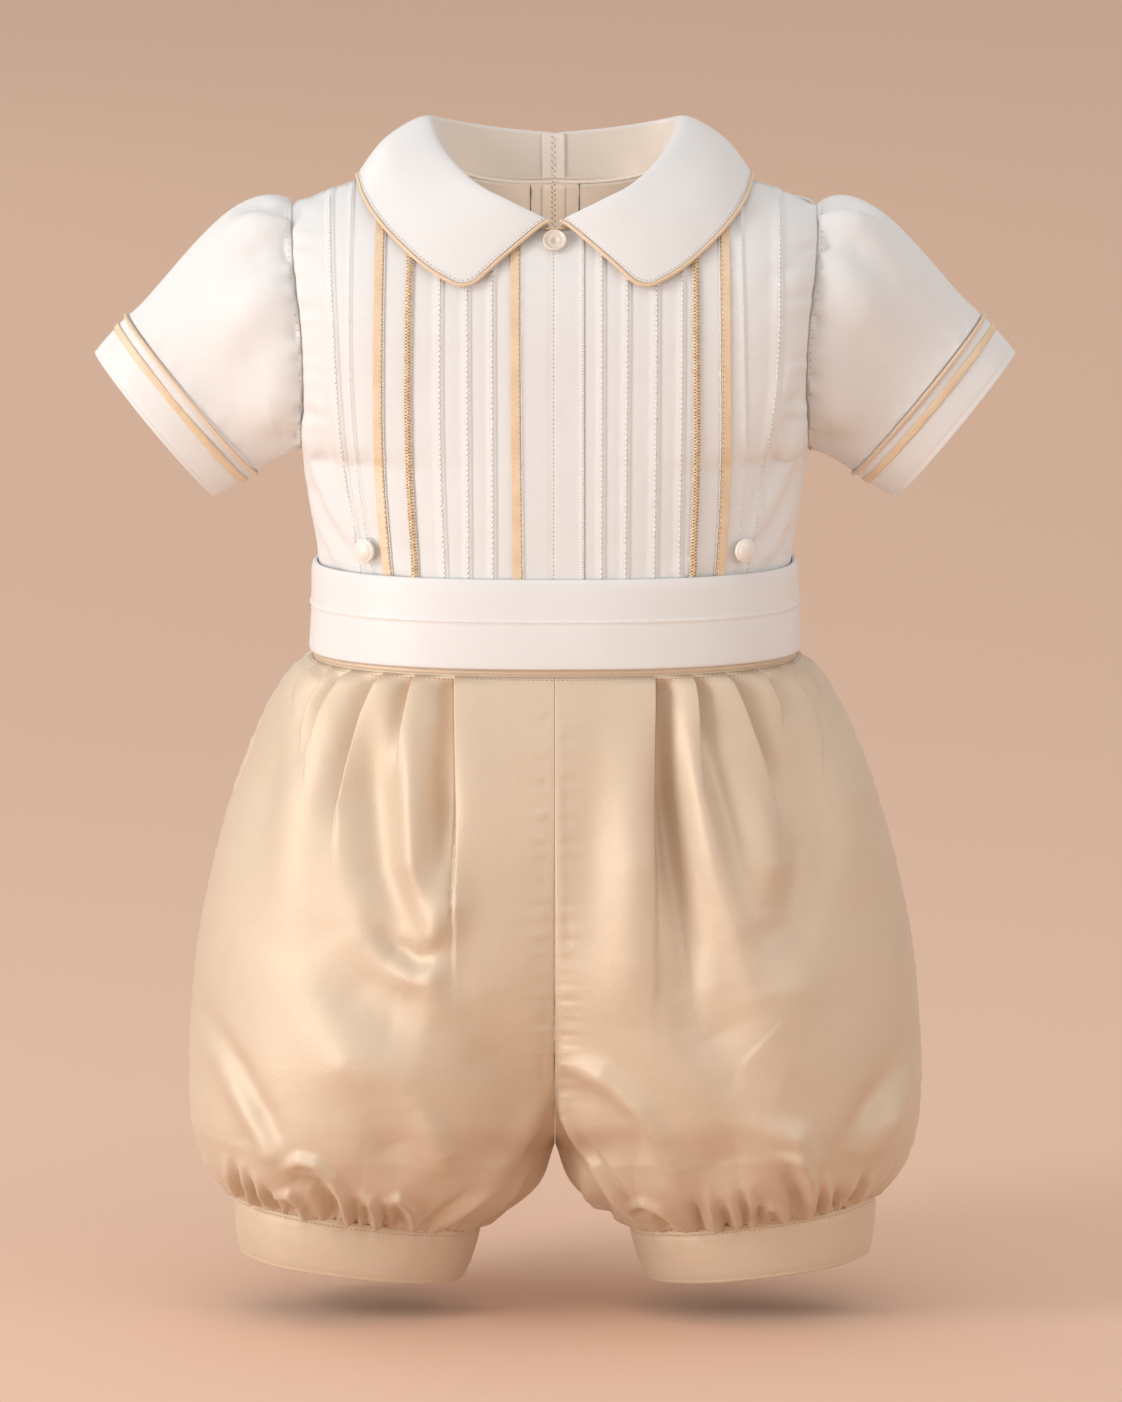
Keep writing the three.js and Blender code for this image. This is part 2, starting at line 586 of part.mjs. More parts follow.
// u runs from the centre or inside-leg seam to the side seam.
function legPlace(sign, face) {
  return (u, v) => {
    const middle = legColumn.middle(v);
    const width = legColumn.outer(v) - middle;
    const fullness = legColumn.fullness(v);
    const start = Math.acos(clamp((middle - seamGap / 2) / width, -1, 1));
    const angle = lerp(start, Math.PI, u);
    const across = Math.abs(Math.cos(angle));
    const bow = Math.max(1 - across ** fullness, 0) ** (1 / fullness);
    const depth = face < 0 ? legColumn.front(v) : legColumn.back(v);
    const x = middle - width * Math.cos(angle);
    const inside = middle - width;
    const part = clamp((x - Math.max(inside, 0)) / (legColumn.outer(v) - Math.max(inside, 0)), 0, 1);
    const z = lerp(legColumn.innerZ(v), legColumn.outerZ(v), part);
    const push = legFold(u, v, x, (x * legRows[0].outer) / legColumn.outer(v));
    const out = new THREE.Vector3(-Math.cos(angle) / width, (face * Math.sin(angle)) / depth, 0).normalize();
    const y = face * (depth * bow + seamGap / 2);
    return new THREE.Vector3(x, y, z).addScaledVector(out, push).multiply(new THREE.Vector3(sign, 1, 1));
  };
}

// Columns at the pleats for the upper rows, and two to a gather near the leg cuff.
const pleatColumns = pleatRows.flatMap(({ seamX, swell }) => [seamX - swell * 0.55, seamX, seamX + swell * 0.55])
  .map((x) => 1 - Math.acos(clamp(x / legRows[0].outer, -1, 1)) / (Math.PI / 2));
const upperColumns = [0, 0.05, 0.1, 0.17, ...pleatColumns, 1];
const plainColumns = steps(16);
const gatherColumns = steps(cuffGathers * 2);
const legGrid = [
  ...grid([0, 0.03, 0.08, 0.16, 0.26, 0.36], upperColumns),
  ...grid([0.49, 0.62, 0.74, 0.84], plainColumns),
  ...grid([0.9, 0.94, 0.975, 1], gatherColumns),
];

for (const [sign, label] of [[-1, "left"], [1, "right"]]) {
  for (const [face, name] of [[-1, "front"], [1, "back"]]) {
    add(`leg_${name}_${label}`, wall(legPlace(sign, face), {
      rows: legGrid, thickness: shortsCloth, side: sign * face,
    }), champagne);
  }
  add(`leg_cuff_${label}`, wall((u, v) => {
    const angle = 2 * Math.PI * u;
    const centreX = lerp(legCuff.topX, legCuff.bottomX, v);
    const centreZ = lerp(legCuff.topZ, legCuff.bottomZ, v);
    const half = lerp(legCuff.topHalf, legCuff.bottomHalf, v);
    const depth = lerp(legCuff.topDepth, legCuff.bottomDepth, v);
    const tilt = Math.tan(degToRad(lerp(legCuff.topTilt, legCuff.bottomTilt, v)));
    const across = half * Math.cos(angle);
    return new THREE.Vector3(sign * (centreX + across), depth * Math.sin(angle), centreZ + across * tilt);
  }, { rows: grid([0, 1], ringSteps(32)), thickness: bandCloth, side: -sign, ring: true }), champagne);
}

// Buttons, turned about their own axes and set on the cloth.
function button(name, profile, x, z, face, rise) {
  const shape = new THREE.LatheGeometry(profile.map(([r, h]) => new THREE.Vector2(r, h)), 12);
  const mesh = add(name, shape, buttonWhite);
  const normal = shirtNormal(x, z, face);
  mesh.position.copy(shirtPoint(x, z, face)).addScaledVector(normal, rise);
  mesh.quaternion.setFromUnitVectors(new THREE.Vector3(0, 1, 0), normal);
}

const flatProfile = [[0, 0], [3.6, 0], [5, 0.9], [5, 1.7], [4.6, 2.1], [3.9, 2.1], [3.5, 1.6], [0, 1.5]];
const domedProfile = [[0, 0], [3.4, 0], [4.7, 0.8], [5, 1.6], [4.4, 2.7], [3, 3.5], [1.5, 3.9], [0, 4]];
button("collar_button", flatProfile, 0, -17, -1, 0.6);
button("side_button_left", domedProfile, -75.4, -141.5, -1, 1.6);
button("side_button_right", domedProfile, 75.3, -141.5, -1, 1.6);
for (const [i, z] of backButtonHeights.entries()) {
  button(`back_button_${i + 1}`, flatProfile, 0, z, 1, 0.6);
}

// Piping round the collar, just beyond the edge of the cloth and level with the middle of it.
function besideCollar(u, v) {
  const spot = collarPlace(1);
  const step = 0.01;
  const alongU = spot(u + step, v).sub(spot(u - step, v)).normalize();
  const alongV = spot(u, v + step).sub(spot(u, v - step)).normalize();
  const normal = alongV.clone().cross(alongU).normalize();
  const away = new THREE.Vector3();
  if (u === 0) away.add(alongV.clone().cross(normal).normalize());
  if (v === 1) away.add(alongU.clone().cross(normal).normalize());
  const corner = away.length() > 1.01 ? pipingCorner : 1;
  away.setLength((pipingRadius + pipingGap) * corner);
  return spot(u, v).add(away).addScaledVector(normal, -collarCloth / 2);
}

const pipingRoute = [
  ...[0.5, 0.6, 0.7, 0.8, 0.9, 0.96].map((v) => [0, v]),
  ...[0, 0.03, 0.08, ...steps(14).slice(2)].map((u) => [u, 1]),
];
for (const [sign, label] of [[-1, "left"], [1, "right"]]) {
  const points = pipingRoute.map(([u, v]) => besideCollar(u, v).multiply(new THREE.Vector3(sign, 1, 1)));
  const path = new THREE.CatmullRomCurve3(points, false, "centripetal");
  const section = new THREE.Shape(ringSteps(6).map((part) => {
    const angle = 2 * Math.PI * part;
    return new THREE.Vector2(pipingRadius * Math.cos(angle), pipingRadius * Math.sin(angle));
  }));
  add(`collar_piping_${label}`, new THREE.ExtrudeGeometry(section, { steps: 36, extrudePath: path }), gold);
}

export default suit;
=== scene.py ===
import random
from math import cos, pi, radians, sin

import bmesh
import bpy
import numpy as np
from mathutils import Matrix, Vector


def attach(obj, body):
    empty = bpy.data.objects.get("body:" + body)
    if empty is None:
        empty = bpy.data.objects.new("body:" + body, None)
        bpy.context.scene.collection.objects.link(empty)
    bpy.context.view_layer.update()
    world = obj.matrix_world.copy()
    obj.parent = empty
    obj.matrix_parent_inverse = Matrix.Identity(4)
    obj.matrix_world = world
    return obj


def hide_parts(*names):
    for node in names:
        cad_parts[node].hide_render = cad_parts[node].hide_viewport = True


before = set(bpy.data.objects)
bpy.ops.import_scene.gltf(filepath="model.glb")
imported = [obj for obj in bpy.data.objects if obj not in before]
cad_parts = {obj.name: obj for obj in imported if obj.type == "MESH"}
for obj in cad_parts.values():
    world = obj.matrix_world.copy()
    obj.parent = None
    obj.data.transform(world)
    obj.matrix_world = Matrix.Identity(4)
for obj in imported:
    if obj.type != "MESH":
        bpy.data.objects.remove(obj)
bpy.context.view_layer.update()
print("frame loaded")

mm = 0.001      # the tables below are in millimetres, the meshes in metres
seamGap = 0.3
sides = ((-1, "Left"), (1, "Right"))      # the viewer's, with the sign of x
suitPieces = {}      # cloth and trims by name
withPiece = {}      # what is sewn to each of them


# Small helpers

def mix(a, b, t):
    return a + (b - a) * t


def ramp(t):      # eased step from 0 to 1
    t = np.clip(t, 0, 1)
    return t * t * (3 - 2 * t)


def bell(t):
    return np.exp(-t * t)


def readCurve(knots, values):
    knots, values = np.array(knots, float), np.array(values, float)
    last = len(knots) - 1
    before = np.maximum(np.arange(last + 1) - 1, 0)
    after = np.minimum(np.arange(last + 1) + 1, last)
    slopes = (values[after] - values[before]) / (knots[after] - knots[before])

    def read(at):
        x = np.clip(at, knots[0], knots[-1])
        i = np.clip(np.searchsorted(knots, x) - 1, 0, last - 1)
        span = knots[i + 1] - knots[i]
        t = (x - knots[i]) / span
        s = 1 - t
        return (values[i] * s * s * (1 + 2 * t) + values[i + 1] * t * t * (1 + 2 * s)
                + span * t * s * (slopes[i] * s - slopes[i + 1] * t))
    return read


def readTable(names, rows):
    names = names.split()
    columns = list(zip(*rows))
    return {name: readCurve(columns[0], columns[i]) for i, name in enumerate(names) if i}


def unit(vectors):
    return vectors / np.maximum(np.linalg.norm(vectors, axis=-1, keepdims=True), 1e-9)


def points(x, y, z):
    return np.stack(np.broadcast_arrays(x, y, z), -1).astype(float)


def outwardOf(place, u, v, side, ring=False, step=0.002):
    low, high = (u - step, u + step) if ring else (np.maximum(u - step, 0), np.minimum(u + step, 1))
    along = place(high, v) - place(low, v)
    down = place(u, np.minimum(v + step, 1)) - place(u, np.maximum(v - step, 0))
    return side * unit(np.cross(along, down))


def closedRound(height):      # the relief runs on smoothly where a ring closes
    return lambda u, v: mix(height(u, v), height(u - 1, v), ramp((u - 0.9) / 0.1))


def raised(place, height, side, ring=False, step=0.002):      # a surface moved out along its own normal
    relief = closedRound(height) if ring else height
    return lambda u, v: place(u, v) + outwardOf(place, u, v, side, ring, step) * relief(u, v)[..., None]


def flipped(spots, sign):
    return spots * np.array([sign, 1, 1])


def mirrored(place, sign):
    return lambda u, v: flipped(place(u, v), sign)


def level(x):      # the same x at every height
    return lambda z: x + 0 * z


def creaseHeight(x, y, creases):      # each crease: height, half width, path of (x, y, strength)
    total = np.zeros(np.shape(x))
    for depth, width, path in creases:
        nearest = np.full(np.shape(x), 1e9)
        strength = np.zeros(np.shape(x))
        for (ax, ay, aw), (bx, by, bw) in zip(path, path[1:]):
            length = (bx - ax) ** 2 + (by - ay) ** 2
            t = np.clip(((x - ax) * (bx - ax) + (y - ay) * (by - ay)) / length, 0, 1)
            gap = np.hypot(x - ax - t * (bx - ax), y - ay - t * (by - ay))
            closer = gap < nearest
            nearest = np.where(closer, gap, nearest)
            strength = np.where(closer, mix(aw, bw, t), strength)
        total += depth * strength * bell(nearest / width)
    return total


# Meshes

def sheetMesh(place, columns, rows, side=1, ring=False, flat=(1, 1)):
    columns, rows = np.array(columns, float), np.array(rows, float)
    bm = bmesh.new()
    uvLayer = bm.loops.layers.uv.new("UVMap")
    bmesh.ops.create_grid(bm, x_segments=len(columns) - 1, y_segments=len(rows) - 1, size=0.5)
    bm.verts.ensure_lookup_table()
    grid = np.array([vert.co[:2] for vert in bm.verts]) + 0.5
    u = columns[np.rint(grid[:, 0] * (len(columns) - 1)).astype(int)]
    v = rows[np.rint(grid[:, 1] * (len(rows) - 1)).astype(int)]
    for vert, spot in zip(bm.verts, place(u, v) * mm):
        vert.co = spot
    uv = np.stack([u * flat[0], v * flat[1]], -1) * mm
    for face in bm.faces:
        for loop in face.loops:
            loop[uvLayer].uv = uv[loop.vert.index]
    if side < 0:
        bmesh.ops.reverse_faces(bm, faces=bm.faces)
    if ring:
        bmesh.ops.remove_doubles(bm, verts=bm.verts, dist=1e-6)
    return bm


def makePiece(name, bm, material, slot, replaces=(), wall=0, round=0, smooth=0, lining=None):
    mesh = bpy.data.meshes.new(name)
    bm.to_mesh(mesh)
    bm.free()
    mesh.shade_smooth()
    mesh.materials.append(material)
    piece = bpy.data.objects.new(name, mesh)
    bpy.context.scene.collection.objects.link(piece)
    if wall:
        thick = piece.modifiers.new("wall", "SOLIDIFY")
        thick.thickness = wall * mm
        thick.offset = -1
        # painted shade: the inner faces of the wall take the second, darker and warmer material
        if lining:
            mesh.materials.append(lining)
            thick.material_offset = 1
    if round:
        edge = piece.modifiers.new("edge", "BEVEL")
        edge.width = round * mm
        edge.segments = 2
        edge.limit_method = "ANGLE"
        edge.angle_limit = radians(65)
    if smooth:
        soft = piece.modifiers.new("soft", "SUBSURF")
        soft.levels = soft.render_levels = smooth
    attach(piece, "root")
    if replaces:
        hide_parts(*([replaces] if isinstance(replaces, str) else replaces))
    return piece


def keepPiece(name, *made, **form):
    suitPieces[name] = makePiece(name, *made, **form)


def ringPiece(name, place, relief, side, columns, rows, flat, *made, step=0.002, **form):      # closed round
    surface = raised(place, relief, side, True, step)
    keepPiece(name, sheetMesh(surface, columns, rows, side, True, flat), *made, **form)


def evenSteps(count):
    return np.linspace(0, 1, count + 1)


def closerAtEnds(count, much=0.8):      # columns crowd towards both ends
    t = evenSteps(count)
    return t - much * np.sin(2 * pi * t) / (2 * pi)


def steppedEnds(count, power=1.7):      # columns crowd towards the last one
    return 1 - (1 - evenSteps(count)) ** power


def uneven(at, pitch, seed):      # a wave that never repeats
    rng = random.Random(seed)
    total = np.zeros(np.shape(at))
    for factor, weight in ((1, 1), (1.37, 0.7), (0.61, 0.6), (2.23, 0.35)):
        total += weight * np.sin(2 * pi * at * factor / pitch + rng.uniform(0, 6.28))
    return total / 1.6


def tubeMesh(centres, radius, sides=8, flat=1.0, capped=True):      # round cord along a path
    centres = np.array(centres, float)
    along = unit(np.gradient(centres, axis=0))
    guide = np.array([0.13, 0.31, 0.94])
    across = unit(np.cross(along, guide))
    up = np.cross(across, along)
    last = len(centres) - 1

    def place(u, v):
        i = np.clip(np.rint(v * last).astype(int), 0, last)
        angle = 2 * pi * u
        circle = np.cos(angle)[..., None] * across[i] + flat * np.sin(angle)[..., None] * up[i]
        return centres[i] + radius * circle
    length = np.sum(np.linalg.norm(np.diff(centres, axis=0), axis=1))
    bm = sheetMesh(place, evenSteps(sides), evenSteps(last), 1, True, (2 * pi * radius, length))
    if capped:
        bmesh.ops.holes_fill(bm, edges=[edge for edge in bm.edges if edge.is_boundary])
    bmesh.ops.recalc_face_normals(bm, faces=bm.faces)
    return bm


def beadMesh(spots, alongs, ups, sizes, corner=0.0):      # one small bead copied to every spot
    shape = bmesh.new()
    bmesh.ops.create_icosphere(shape, subdivisions=1, radius=0.5)
    verts = np.array([vert.co[:] for vert in shape.verts])
    faces = np.array([[vert.index for vert in face.verts] for face in shape.faces])
    shape.free()
    spots = np.array(spots, float)
    x = unit(np.array(alongs, float))
    y = unit(np.cross(np.array(ups, float), x))
    z = np.cross(x, y)
    x, y = x * cos(corner) + y * sin(corner), y * cos(corner) - x * sin(corner)
    sizes = np.broadcast_to(np.array(sizes, float), spots.shape)
    stretched = verts[None, :, :] * sizes[:, None, :]
    world = (spots[:, None, :] + stretched[..., :1] * x[:, None] + stretched[..., 1:2] * y[:, None]
             + stretched[..., 2:] * z[:, None])
    count = len(verts)
    mesh = bpy.data.meshes.new("beads")
    mesh.from_pydata((world.reshape(-1, 3) * mm).tolist(), [],
                     (faces[None] + count * np.arange(len(spots))[:, None, None]).reshape(-1, 3).tolist())
    bm = bmesh.new()
    bm.from_mesh(mesh)
    bpy.data.meshes.remove(mesh)
    return bm


def spread(path, pitch):      # even spots along a path of points, with their directions
    path = np.array(path, float)
    steps = np.linalg.norm(np.diff(path, axis=0), axis=1)
    far = np.concatenate([[0], np.cumsum(steps)])
    at = np.arange(pitch / 2, far[-1], pitch)
    spots = np.stack([np.interp(at, far, path[:, i]) for i in range(3)], -1)
    ahead = np.stack([np.interp(at + 0.2, far, path[:, i]) for i in range(3)], -1)
    behind = np.stack([np.interp(at - 0.2, far, path[:, i]) for i in range(3)], -1)
    return spots, unit(ahead - behind)


def seamTape(name, path, radius, material, slot, closed=False):      # allowance of cloth behind a seam
    bm = tubeMesh(path, radius, 6, capped=not closed)
    if closed:
        bmesh.ops.remove_doubles(bm, verts=bm.verts, dist=0.2 * mm)
    return makePiece(name, bm, material, slot)


def stitchLine(name, path, pitch, size, material, slot, turn=0.0, up=(0, -1, 0)):      # even stitches
    spots, alongs = spread(path, pitch)
    ups = np.broadcast_to(np.array(up, float), spots.shape)
    return makePiece(name, beadMesh(spots, alongs, ups, size, turn), material, slot)


# Materials

def addNode(material, kind, values=None, **settings):
    node = material.node_tree.nodes.new(kind)
    for name, value in settings.items():
        setattr(node, name, value)
    for name, value in (values or {}).items():
        node.inputs[name].default_value = value
    return node


def addNoise(material, source, scale, detail):
    node = addNode(material, "ShaderNodeTexNoise", {"Scale": scale, "Detail": detail})
    material.node_tree.links.new(source, node.inputs["Vector"])
    return node.outputs["Fac"]


sockets = {
    "roughness": "Roughness", "specular": "Specular IOR Level", "sheen": "Sheen Weight",
    "sheenRoughness": "Sheen Roughness", "anisotropic": "Anisotropic", "metallic": "Metallic",
    "coat": "Coat Weight", "coatRoughness": "Coat Roughness",
}


def clothMaterial(name, look):
    material = bpy.data.materials.new(name)
    material.use_nodes = True
    nodes, links = material.node_tree.nodes, material.node_tree.links
    shader = nodes["Principled BSDF"]
    for key, socket in sockets.items():
        if key in look:
            shader.inputs[socket].default_value = look[key]
    if "sheenTint" in look:
        shader.inputs["Sheen Tint"].default_value = (*look["sheenTint"], 1)
    place = addNode(material, "ShaderNodeTexCoord")
    source = place.outputs["UV" if look.get("uv", True) else "Object"]

    cloud = addNoise(material, place.outputs["Object"], look.get("cloud", 14), 3)      # slow change of tone
    fleck = addNoise(material, source, look.get("fleck", 900), 2)      # from thread to thread
    blend = addNode(material, "ShaderNodeMath", {1: look.get("fleckShare", 0.35)}, operation="MULTIPLY_ADD")
    links.new(fleck, blend.inputs[0])
    links.new(cloud, blend.inputs[2])
    tones = addNode(material, "ShaderNodeValToRGB")
    for stop, at, tone in zip(tones.color_ramp.elements, (0.35, 0.95), ("dark", "color")):
        stop.position = at
        stop.color = (*look[tone], 1)
    links.new(blend.outputs[0], tones.inputs["Fac"])
    links.new(tones.outputs["Color"], shader.inputs["Base Color"])
    if "inner" in look:      # painted shade: the part that turns into the neck is darker and warmer, standing in for the shade and warm bounce light there
        split = addNode(material, "ShaderNodeSeparateXYZ")
        span = {"From Min": look["innerFrom"], "From Max": look["innerTo"]}
        part = addNode(material, "ShaderNodeMapRange", span)
        both = addNode(material, "ShaderNodeMix", {6: (*look["inner"], 1)}, data_type="RGBA")
        links.new(place.outputs["UV"], split.inputs[0])
        links.new(split.outputs["Y"], part.inputs[0])
        links.new(part.outputs[0], both.inputs[0])
        links.new(tones.outputs["Color"], both.inputs[7])
        links.new(both.outputs[2], shader.inputs["Base Color"])

    # threads running across and along, then the soft unevenness of the cloth
    heights = []
    for stretch in ((1, look.get("threadRatio", 0.12), 1), (look.get("threadRatio", 0.12), 1, 1)):
        turn = addNode(material, "ShaderNodeMapping")
        turn.inputs["Rotation"].default_value = (0, 0, look.get("grain", 0))
        turn.inputs["Scale"].default_value = stretch
        links.new(source, turn.inputs["Vector"])
        heights.append(addNoise(material, turn.outputs["Vector"], look.get("threads", 1700), 1))
    weave = addNode(material, "ShaderNodeMath", operation="ADD")
    links.new(heights[0], weave.inputs[0])
    links.new(heights[1], weave.inputs[1])
    fine = addNode(material, "ShaderNodeBump", {"Strength": look.get("weave", 0.3), "Distance": 0.0003})
    links.new(weave.outputs[0], fine.inputs["Height"])
    soft = addNoise(material, place.outputs["Object"], look.get("soft", 70), 2)
    broad = addNode(material, "ShaderNodeBump", {"Strength": look.get("softness", 0.15), "Distance": 0.003})
    links.new(soft, broad.inputs["Height"])
    links.new(broad.outputs["Normal"], fine.inputs["Normal"])
    links.new(fine.outputs["Normal"], shader.inputs["Normal"])
    return material


cotton = clothMaterial("fineCotton", {
    "color": (0.785, 0.775, 0.77), "dark": (0.74, 0.725, 0.715), "roughness": 0.6, "specular": 0.3,
    "sheen": 0.2, "sheenRoughness": 0.4, "weave": 0.22, "softness": 0.16, "grain": 0.6, "threads": 1500,
})
satinLook = {
    "color": (0.79, 0.775, 0.765), "dark": (0.755, 0.735, 0.725), "roughness": 0.42, "specular": 0.4,
    "sheen": 0.12, "sheenRoughness": 0.3, "weave": 0.1, "softness": 0.08, "threads": 2000,
}
satin = clothMaterial("whiteSatin", satinLook)
# painted shade on the collar stand, where it turns into the neck: the inner tone is darker and warmer than the
# satin
collarSatin = clothMaterial("collarSatin", {
    **satinLook, "inner": (0.70, 0.60, 0.515), "innerFrom": 0.0255, "innerTo": 0.0315,
})
# painted shade: a darker, warmer cream for the inside faces of the shirt, the neck tape and the neck strip,
# standing in for the shade and warm bounce light inside
insideShadeCotton = clothMaterial("insideShadeCotton", {
    "color": (0.82, 0.73, 0.65), "dark": (0.78, 0.685, 0.60), "roughness": 0.65, "specular": 0.25,
    "sheen": 0.2, "weave": 0.22, "softness": 0.16, "grain": 0.6, "threads": 1500,
})
champagne = clothMaterial("champagneSatin", {
    "color": (0.715, 0.583, 0.446), "dark": (0.65, 0.517, 0.385), "roughness": 0.56, "specular": 0.35,
    "sheen": 0.35, "sheenRoughness": 0.3, "sheenTint": (1.0, 0.93, 0.86), "metallic": 0.3, "anisotropic": 0.3,
    "weave": 0.22, "softness": 0.12, "grain": 0.78, "threads": 1400, "threadRatio": 0.2,
})
goldSatin = clothMaterial("goldSatin", {
    "color": (0.83, 0.65, 0.46), "dark": (0.72, 0.52, 0.34), "roughness": 0.36, "specular": 0.5, "sheen": 0.3,
    "sheenTint": (1.0, 0.85, 0.6), "weave": 0.35, "softness": 0.1, "cloud": 90, "threads": 1600, "fleck": 500,
})
goldCord = clothMaterial("goldCord", {
    "color": (0.82, 0.64, 0.46), "dark": (0.70, 0.51, 0.34), "roughness": 0.4, "specular": 0.5, "sheen": 0.25,
    "sheenTint": (1.0, 0.85, 0.65), "weave": 0.3, "softness": 0.05, "grain": 0.8, "threads": 1500,
})
goldThread = clothMaterial("goldThread", {
    "color": (0.92, 0.75, 0.52), "dark": (0.62, 0.42, 0.22), "roughness": 0.34, "specular": 0.6,
    "metallic": 0.15, "cloud": 420, "fleck": 1500, "uv": False, "weave": 0.3, "softness": 0.25, "soft": 500,
})
threadLook = {"roughness": 0.5, "specular": 0.35, "uv": False, "weave": 0.3, "softness": 0.1, "cloud": 200}
whiteThread = clothMaterial("whiteThread", {
    **threadLook, "color": (0.88, 0.865, 0.85), "dark": (0.80, 0.77, 0.74),
})
brownThread = clothMaterial("brownThread", {
    **threadLook, "color": (0.52, 0.33, 0.17), "dark": (0.36, 0.21, 0.10),
})
buttonLook = {
    "roughness": 0.28, "specular": 0.5, "coat": 0.4, "coatRoughness": 0.12, "uv": False, "weave": 0.0,
    "softness": 0.03, "cloud": 160, "fleckShare": 0.1,
}
pearlButton = clothMaterial("pearlButton", {
    **buttonLook, "color": (0.88, 0.84, 0.79), "dark": (0.82, 0.77, 0.70),
})
beigeButton = clothMaterial("beigeButton", {
    **buttonLook, "color": (0.78, 0.685, 0.60), "dark": (0.72, 0.62, 0.53),
})
print("materials made")


# Shirt body. Sections from hem to shoulder: half width and depth before and behind the side seam.
shirt = {
    "cloth": 1.2, "hemZ": -171.4, "underarmZ": -106, "armholeMidZ": -56, "neckHalf": 42,
    "neckFrontDrop": 23.5, "neckBackDrop": 11, "armholeDepth": 40, "shoulderSeamY": 2, "fullness": 2.5,
    "placketLeft": -13.6, "placketRight": 11.4, "backPlacketHalf": 10,
    "sections": readTable("z half front back", [
        (-172, 96, 71, 59), (-151, 97.2, 70.5, 59.5), (-128, 100.8, 70.5, 61), (-106, 103.7, 70, 62),
        (-84, 102.4, 68.5, 61.5), (-56, 102.8, 66, 60), (-23, 106.4, 62, 55), (12, 107.4, 59, 51)]),
    "shoulder": readCurve((0, 42, 60, 81, 95, 107.4), (12, 9.5, 8, 4, -0.8, -6)),
    "trimHeights": (-158, -110, -67, 4), "sashCover": -156.0,
    "tapeLift": 0.42, "tapeFoot": 0.6, "grooveDepth": 0.1, "grooveWidth": 0.6, "grooveOff": 0.9,
    "frontCreaseGain": 1.5, "armholePucker": 0.8, "sidePucker": 0.5, "trimPull": 0.12, "backPucker": 0.7,
    "backPull": 0.25, "placketLift": 0.1, "placketEdge": 0.35, "placketGroove": 0.3, "placketPull": 0.06,
}

# Sewn down each front: kind, distance from the centre at the waist, belly, chest and shoulder, and the width.
# Tapes and tucks are raised in the panel. Ribbons and braids are pieces that lie on it.
leftTrims = [
    ("ribbon", 15.1, 15.6, 16, 16.1, 3.8), ("tape", 25, 25.1, 25.3, 25.4, 2.8),
    ("tape", 34.9, 35.1, 35.4, 35.5, 2.8), ("tape", 44.2, 46, 46.6, 46, 2.8),
    ("braid", 55.7, 58.8, 59.4, 58, 3.6), ("ribbon", 67.4, 71, 71.6, 70.6, 3.5),
    ("tuck", 73.2, 80, 82.9, 82.7, 1.6), ("tape", 77.6, 85.2, 88.7, 92, 2.8),
]
rightTrims = [
    ("tape", 18.8, 18.9, 19, 19, 2.8), ("tape", 28.5, 28.8, 29.2, 29.5, 2.8),
    ("tape", 40, 40.6, 41, 41.3, 2.8), ("tape", 50, 50.8, 51.4, 51.7, 2.4),
    ("braid", 55.3, 57.1, 57.2, 56.9, 3.6), ("ribbon", 66.8, 69.2, 69.3, 68.7, 3.6),
    ("tuck", 72.6, 76.9, 76.6, 75.1, 1.4), ("tape", 77, 84.6, 90, 91.4, 2.8),
]
frontTrims = {-1: leftTrims, 1: rightTrims}

# Soft creases pulled from the underarm to the side button, then across the belly: height, width, path
leftCreases = [
    (-1.3, 3.2, [(103, -79, 0.3), (97, -97, 1), (88, -120, 1), (79, -139, 0.5)]),
    (1.4, 4.2, [(104, -90, 0.4), (98, -108, 1), (89, -128, 1), (80, -141, 0.3)]),
    (-1.2, 3.0, [(104, -101, 0.5), (98, -122, 1), (90, -138, 1), (80, -147, 0.4)]),
    (1.2, 3.6, [(103, -112, 0.4), (97, -132, 1), (89, -147, 0.8)]),
    (-1.0, 2.6, [(101, -128, 0.4), (96, -143, 1), (88, -153, 0.6)]),
    (0.8, 3.0, [(100, -66, 0.3), (93, -84, 1), (90, -104, 0.3)]),
    (-0.7, 4.0, [(99, -34, 0.6), (92, -44, 0.7), (84, -60, 0)]),
    (0.7, 3.5, [(68, -143, 0), (58, -150, 1), (46, -153, 0)]),
    (-0.5, 4.5, [(72, -150, 0.6), (60, -157, 1), (40, -160, 0)]),
]
rightCreases = [
    (-1.4, 3.2, [(104, -72, 0.4), (96, -88, 1), (88, -108, 1), (80, -132, 0.3)]),
    (1.5, 4.4, [(104, -84, 0.4), (97, -100, 1), (88, -122, 1), (79, -138, 0.4)]),
    (-1.3, 3.2, [(104, -98, 0.5), (97, -118, 1), (88, -136, 1), (79, -144, 0.3)]),
    (1.2, 3.8, [(103, -110, 0.4), (97, -128, 1), (88, -144, 0.7)]),
    (-1.0, 2.6, [(101, -122, 0.4), (95, -140, 1), (86, -151, 0.5)]),
    (0.8, 3.2, [(100, -58, 0.4), (93, -76, 1), (88, -100, 0.2)]),
    (-0.6, 3.6, [(101, -22, 0.6), (90, -30, 0.7), (80, -46, 0)]),
    (0.7, 3.6, [(64, -142, 0), (52, -149, 1), (40, -151, 0)]),
    (-0.5, 4.5, [(68, -150, 0.6), (56, -156, 1), (36, -159, 0)]),
]
frontCreases = {-1: leftCreases, 1: rightCreases}
backCreases = [
    (-1.3, 3.6, [(103, -84, 0.4), (92, -104, 1), (78, -128, 1), (66, -144, 0)]),
    (1.3, 4.4, [(104, -96, 0.4), (94, -116, 1), (80, -138, 0.8), (70, -150, 0)]),
    (-1.0, 3.4, [(102, -112, 0.4), (92, -134, 1), (82, -150, 0.3)]),
    (0.9, 6, [(20, -40, 0), (44, -60, 1), (60, -92, 0)]),
    (-0.8, 6, [(34, -96, 0), (52, -116, 1), (58, -146, 0)]),
]


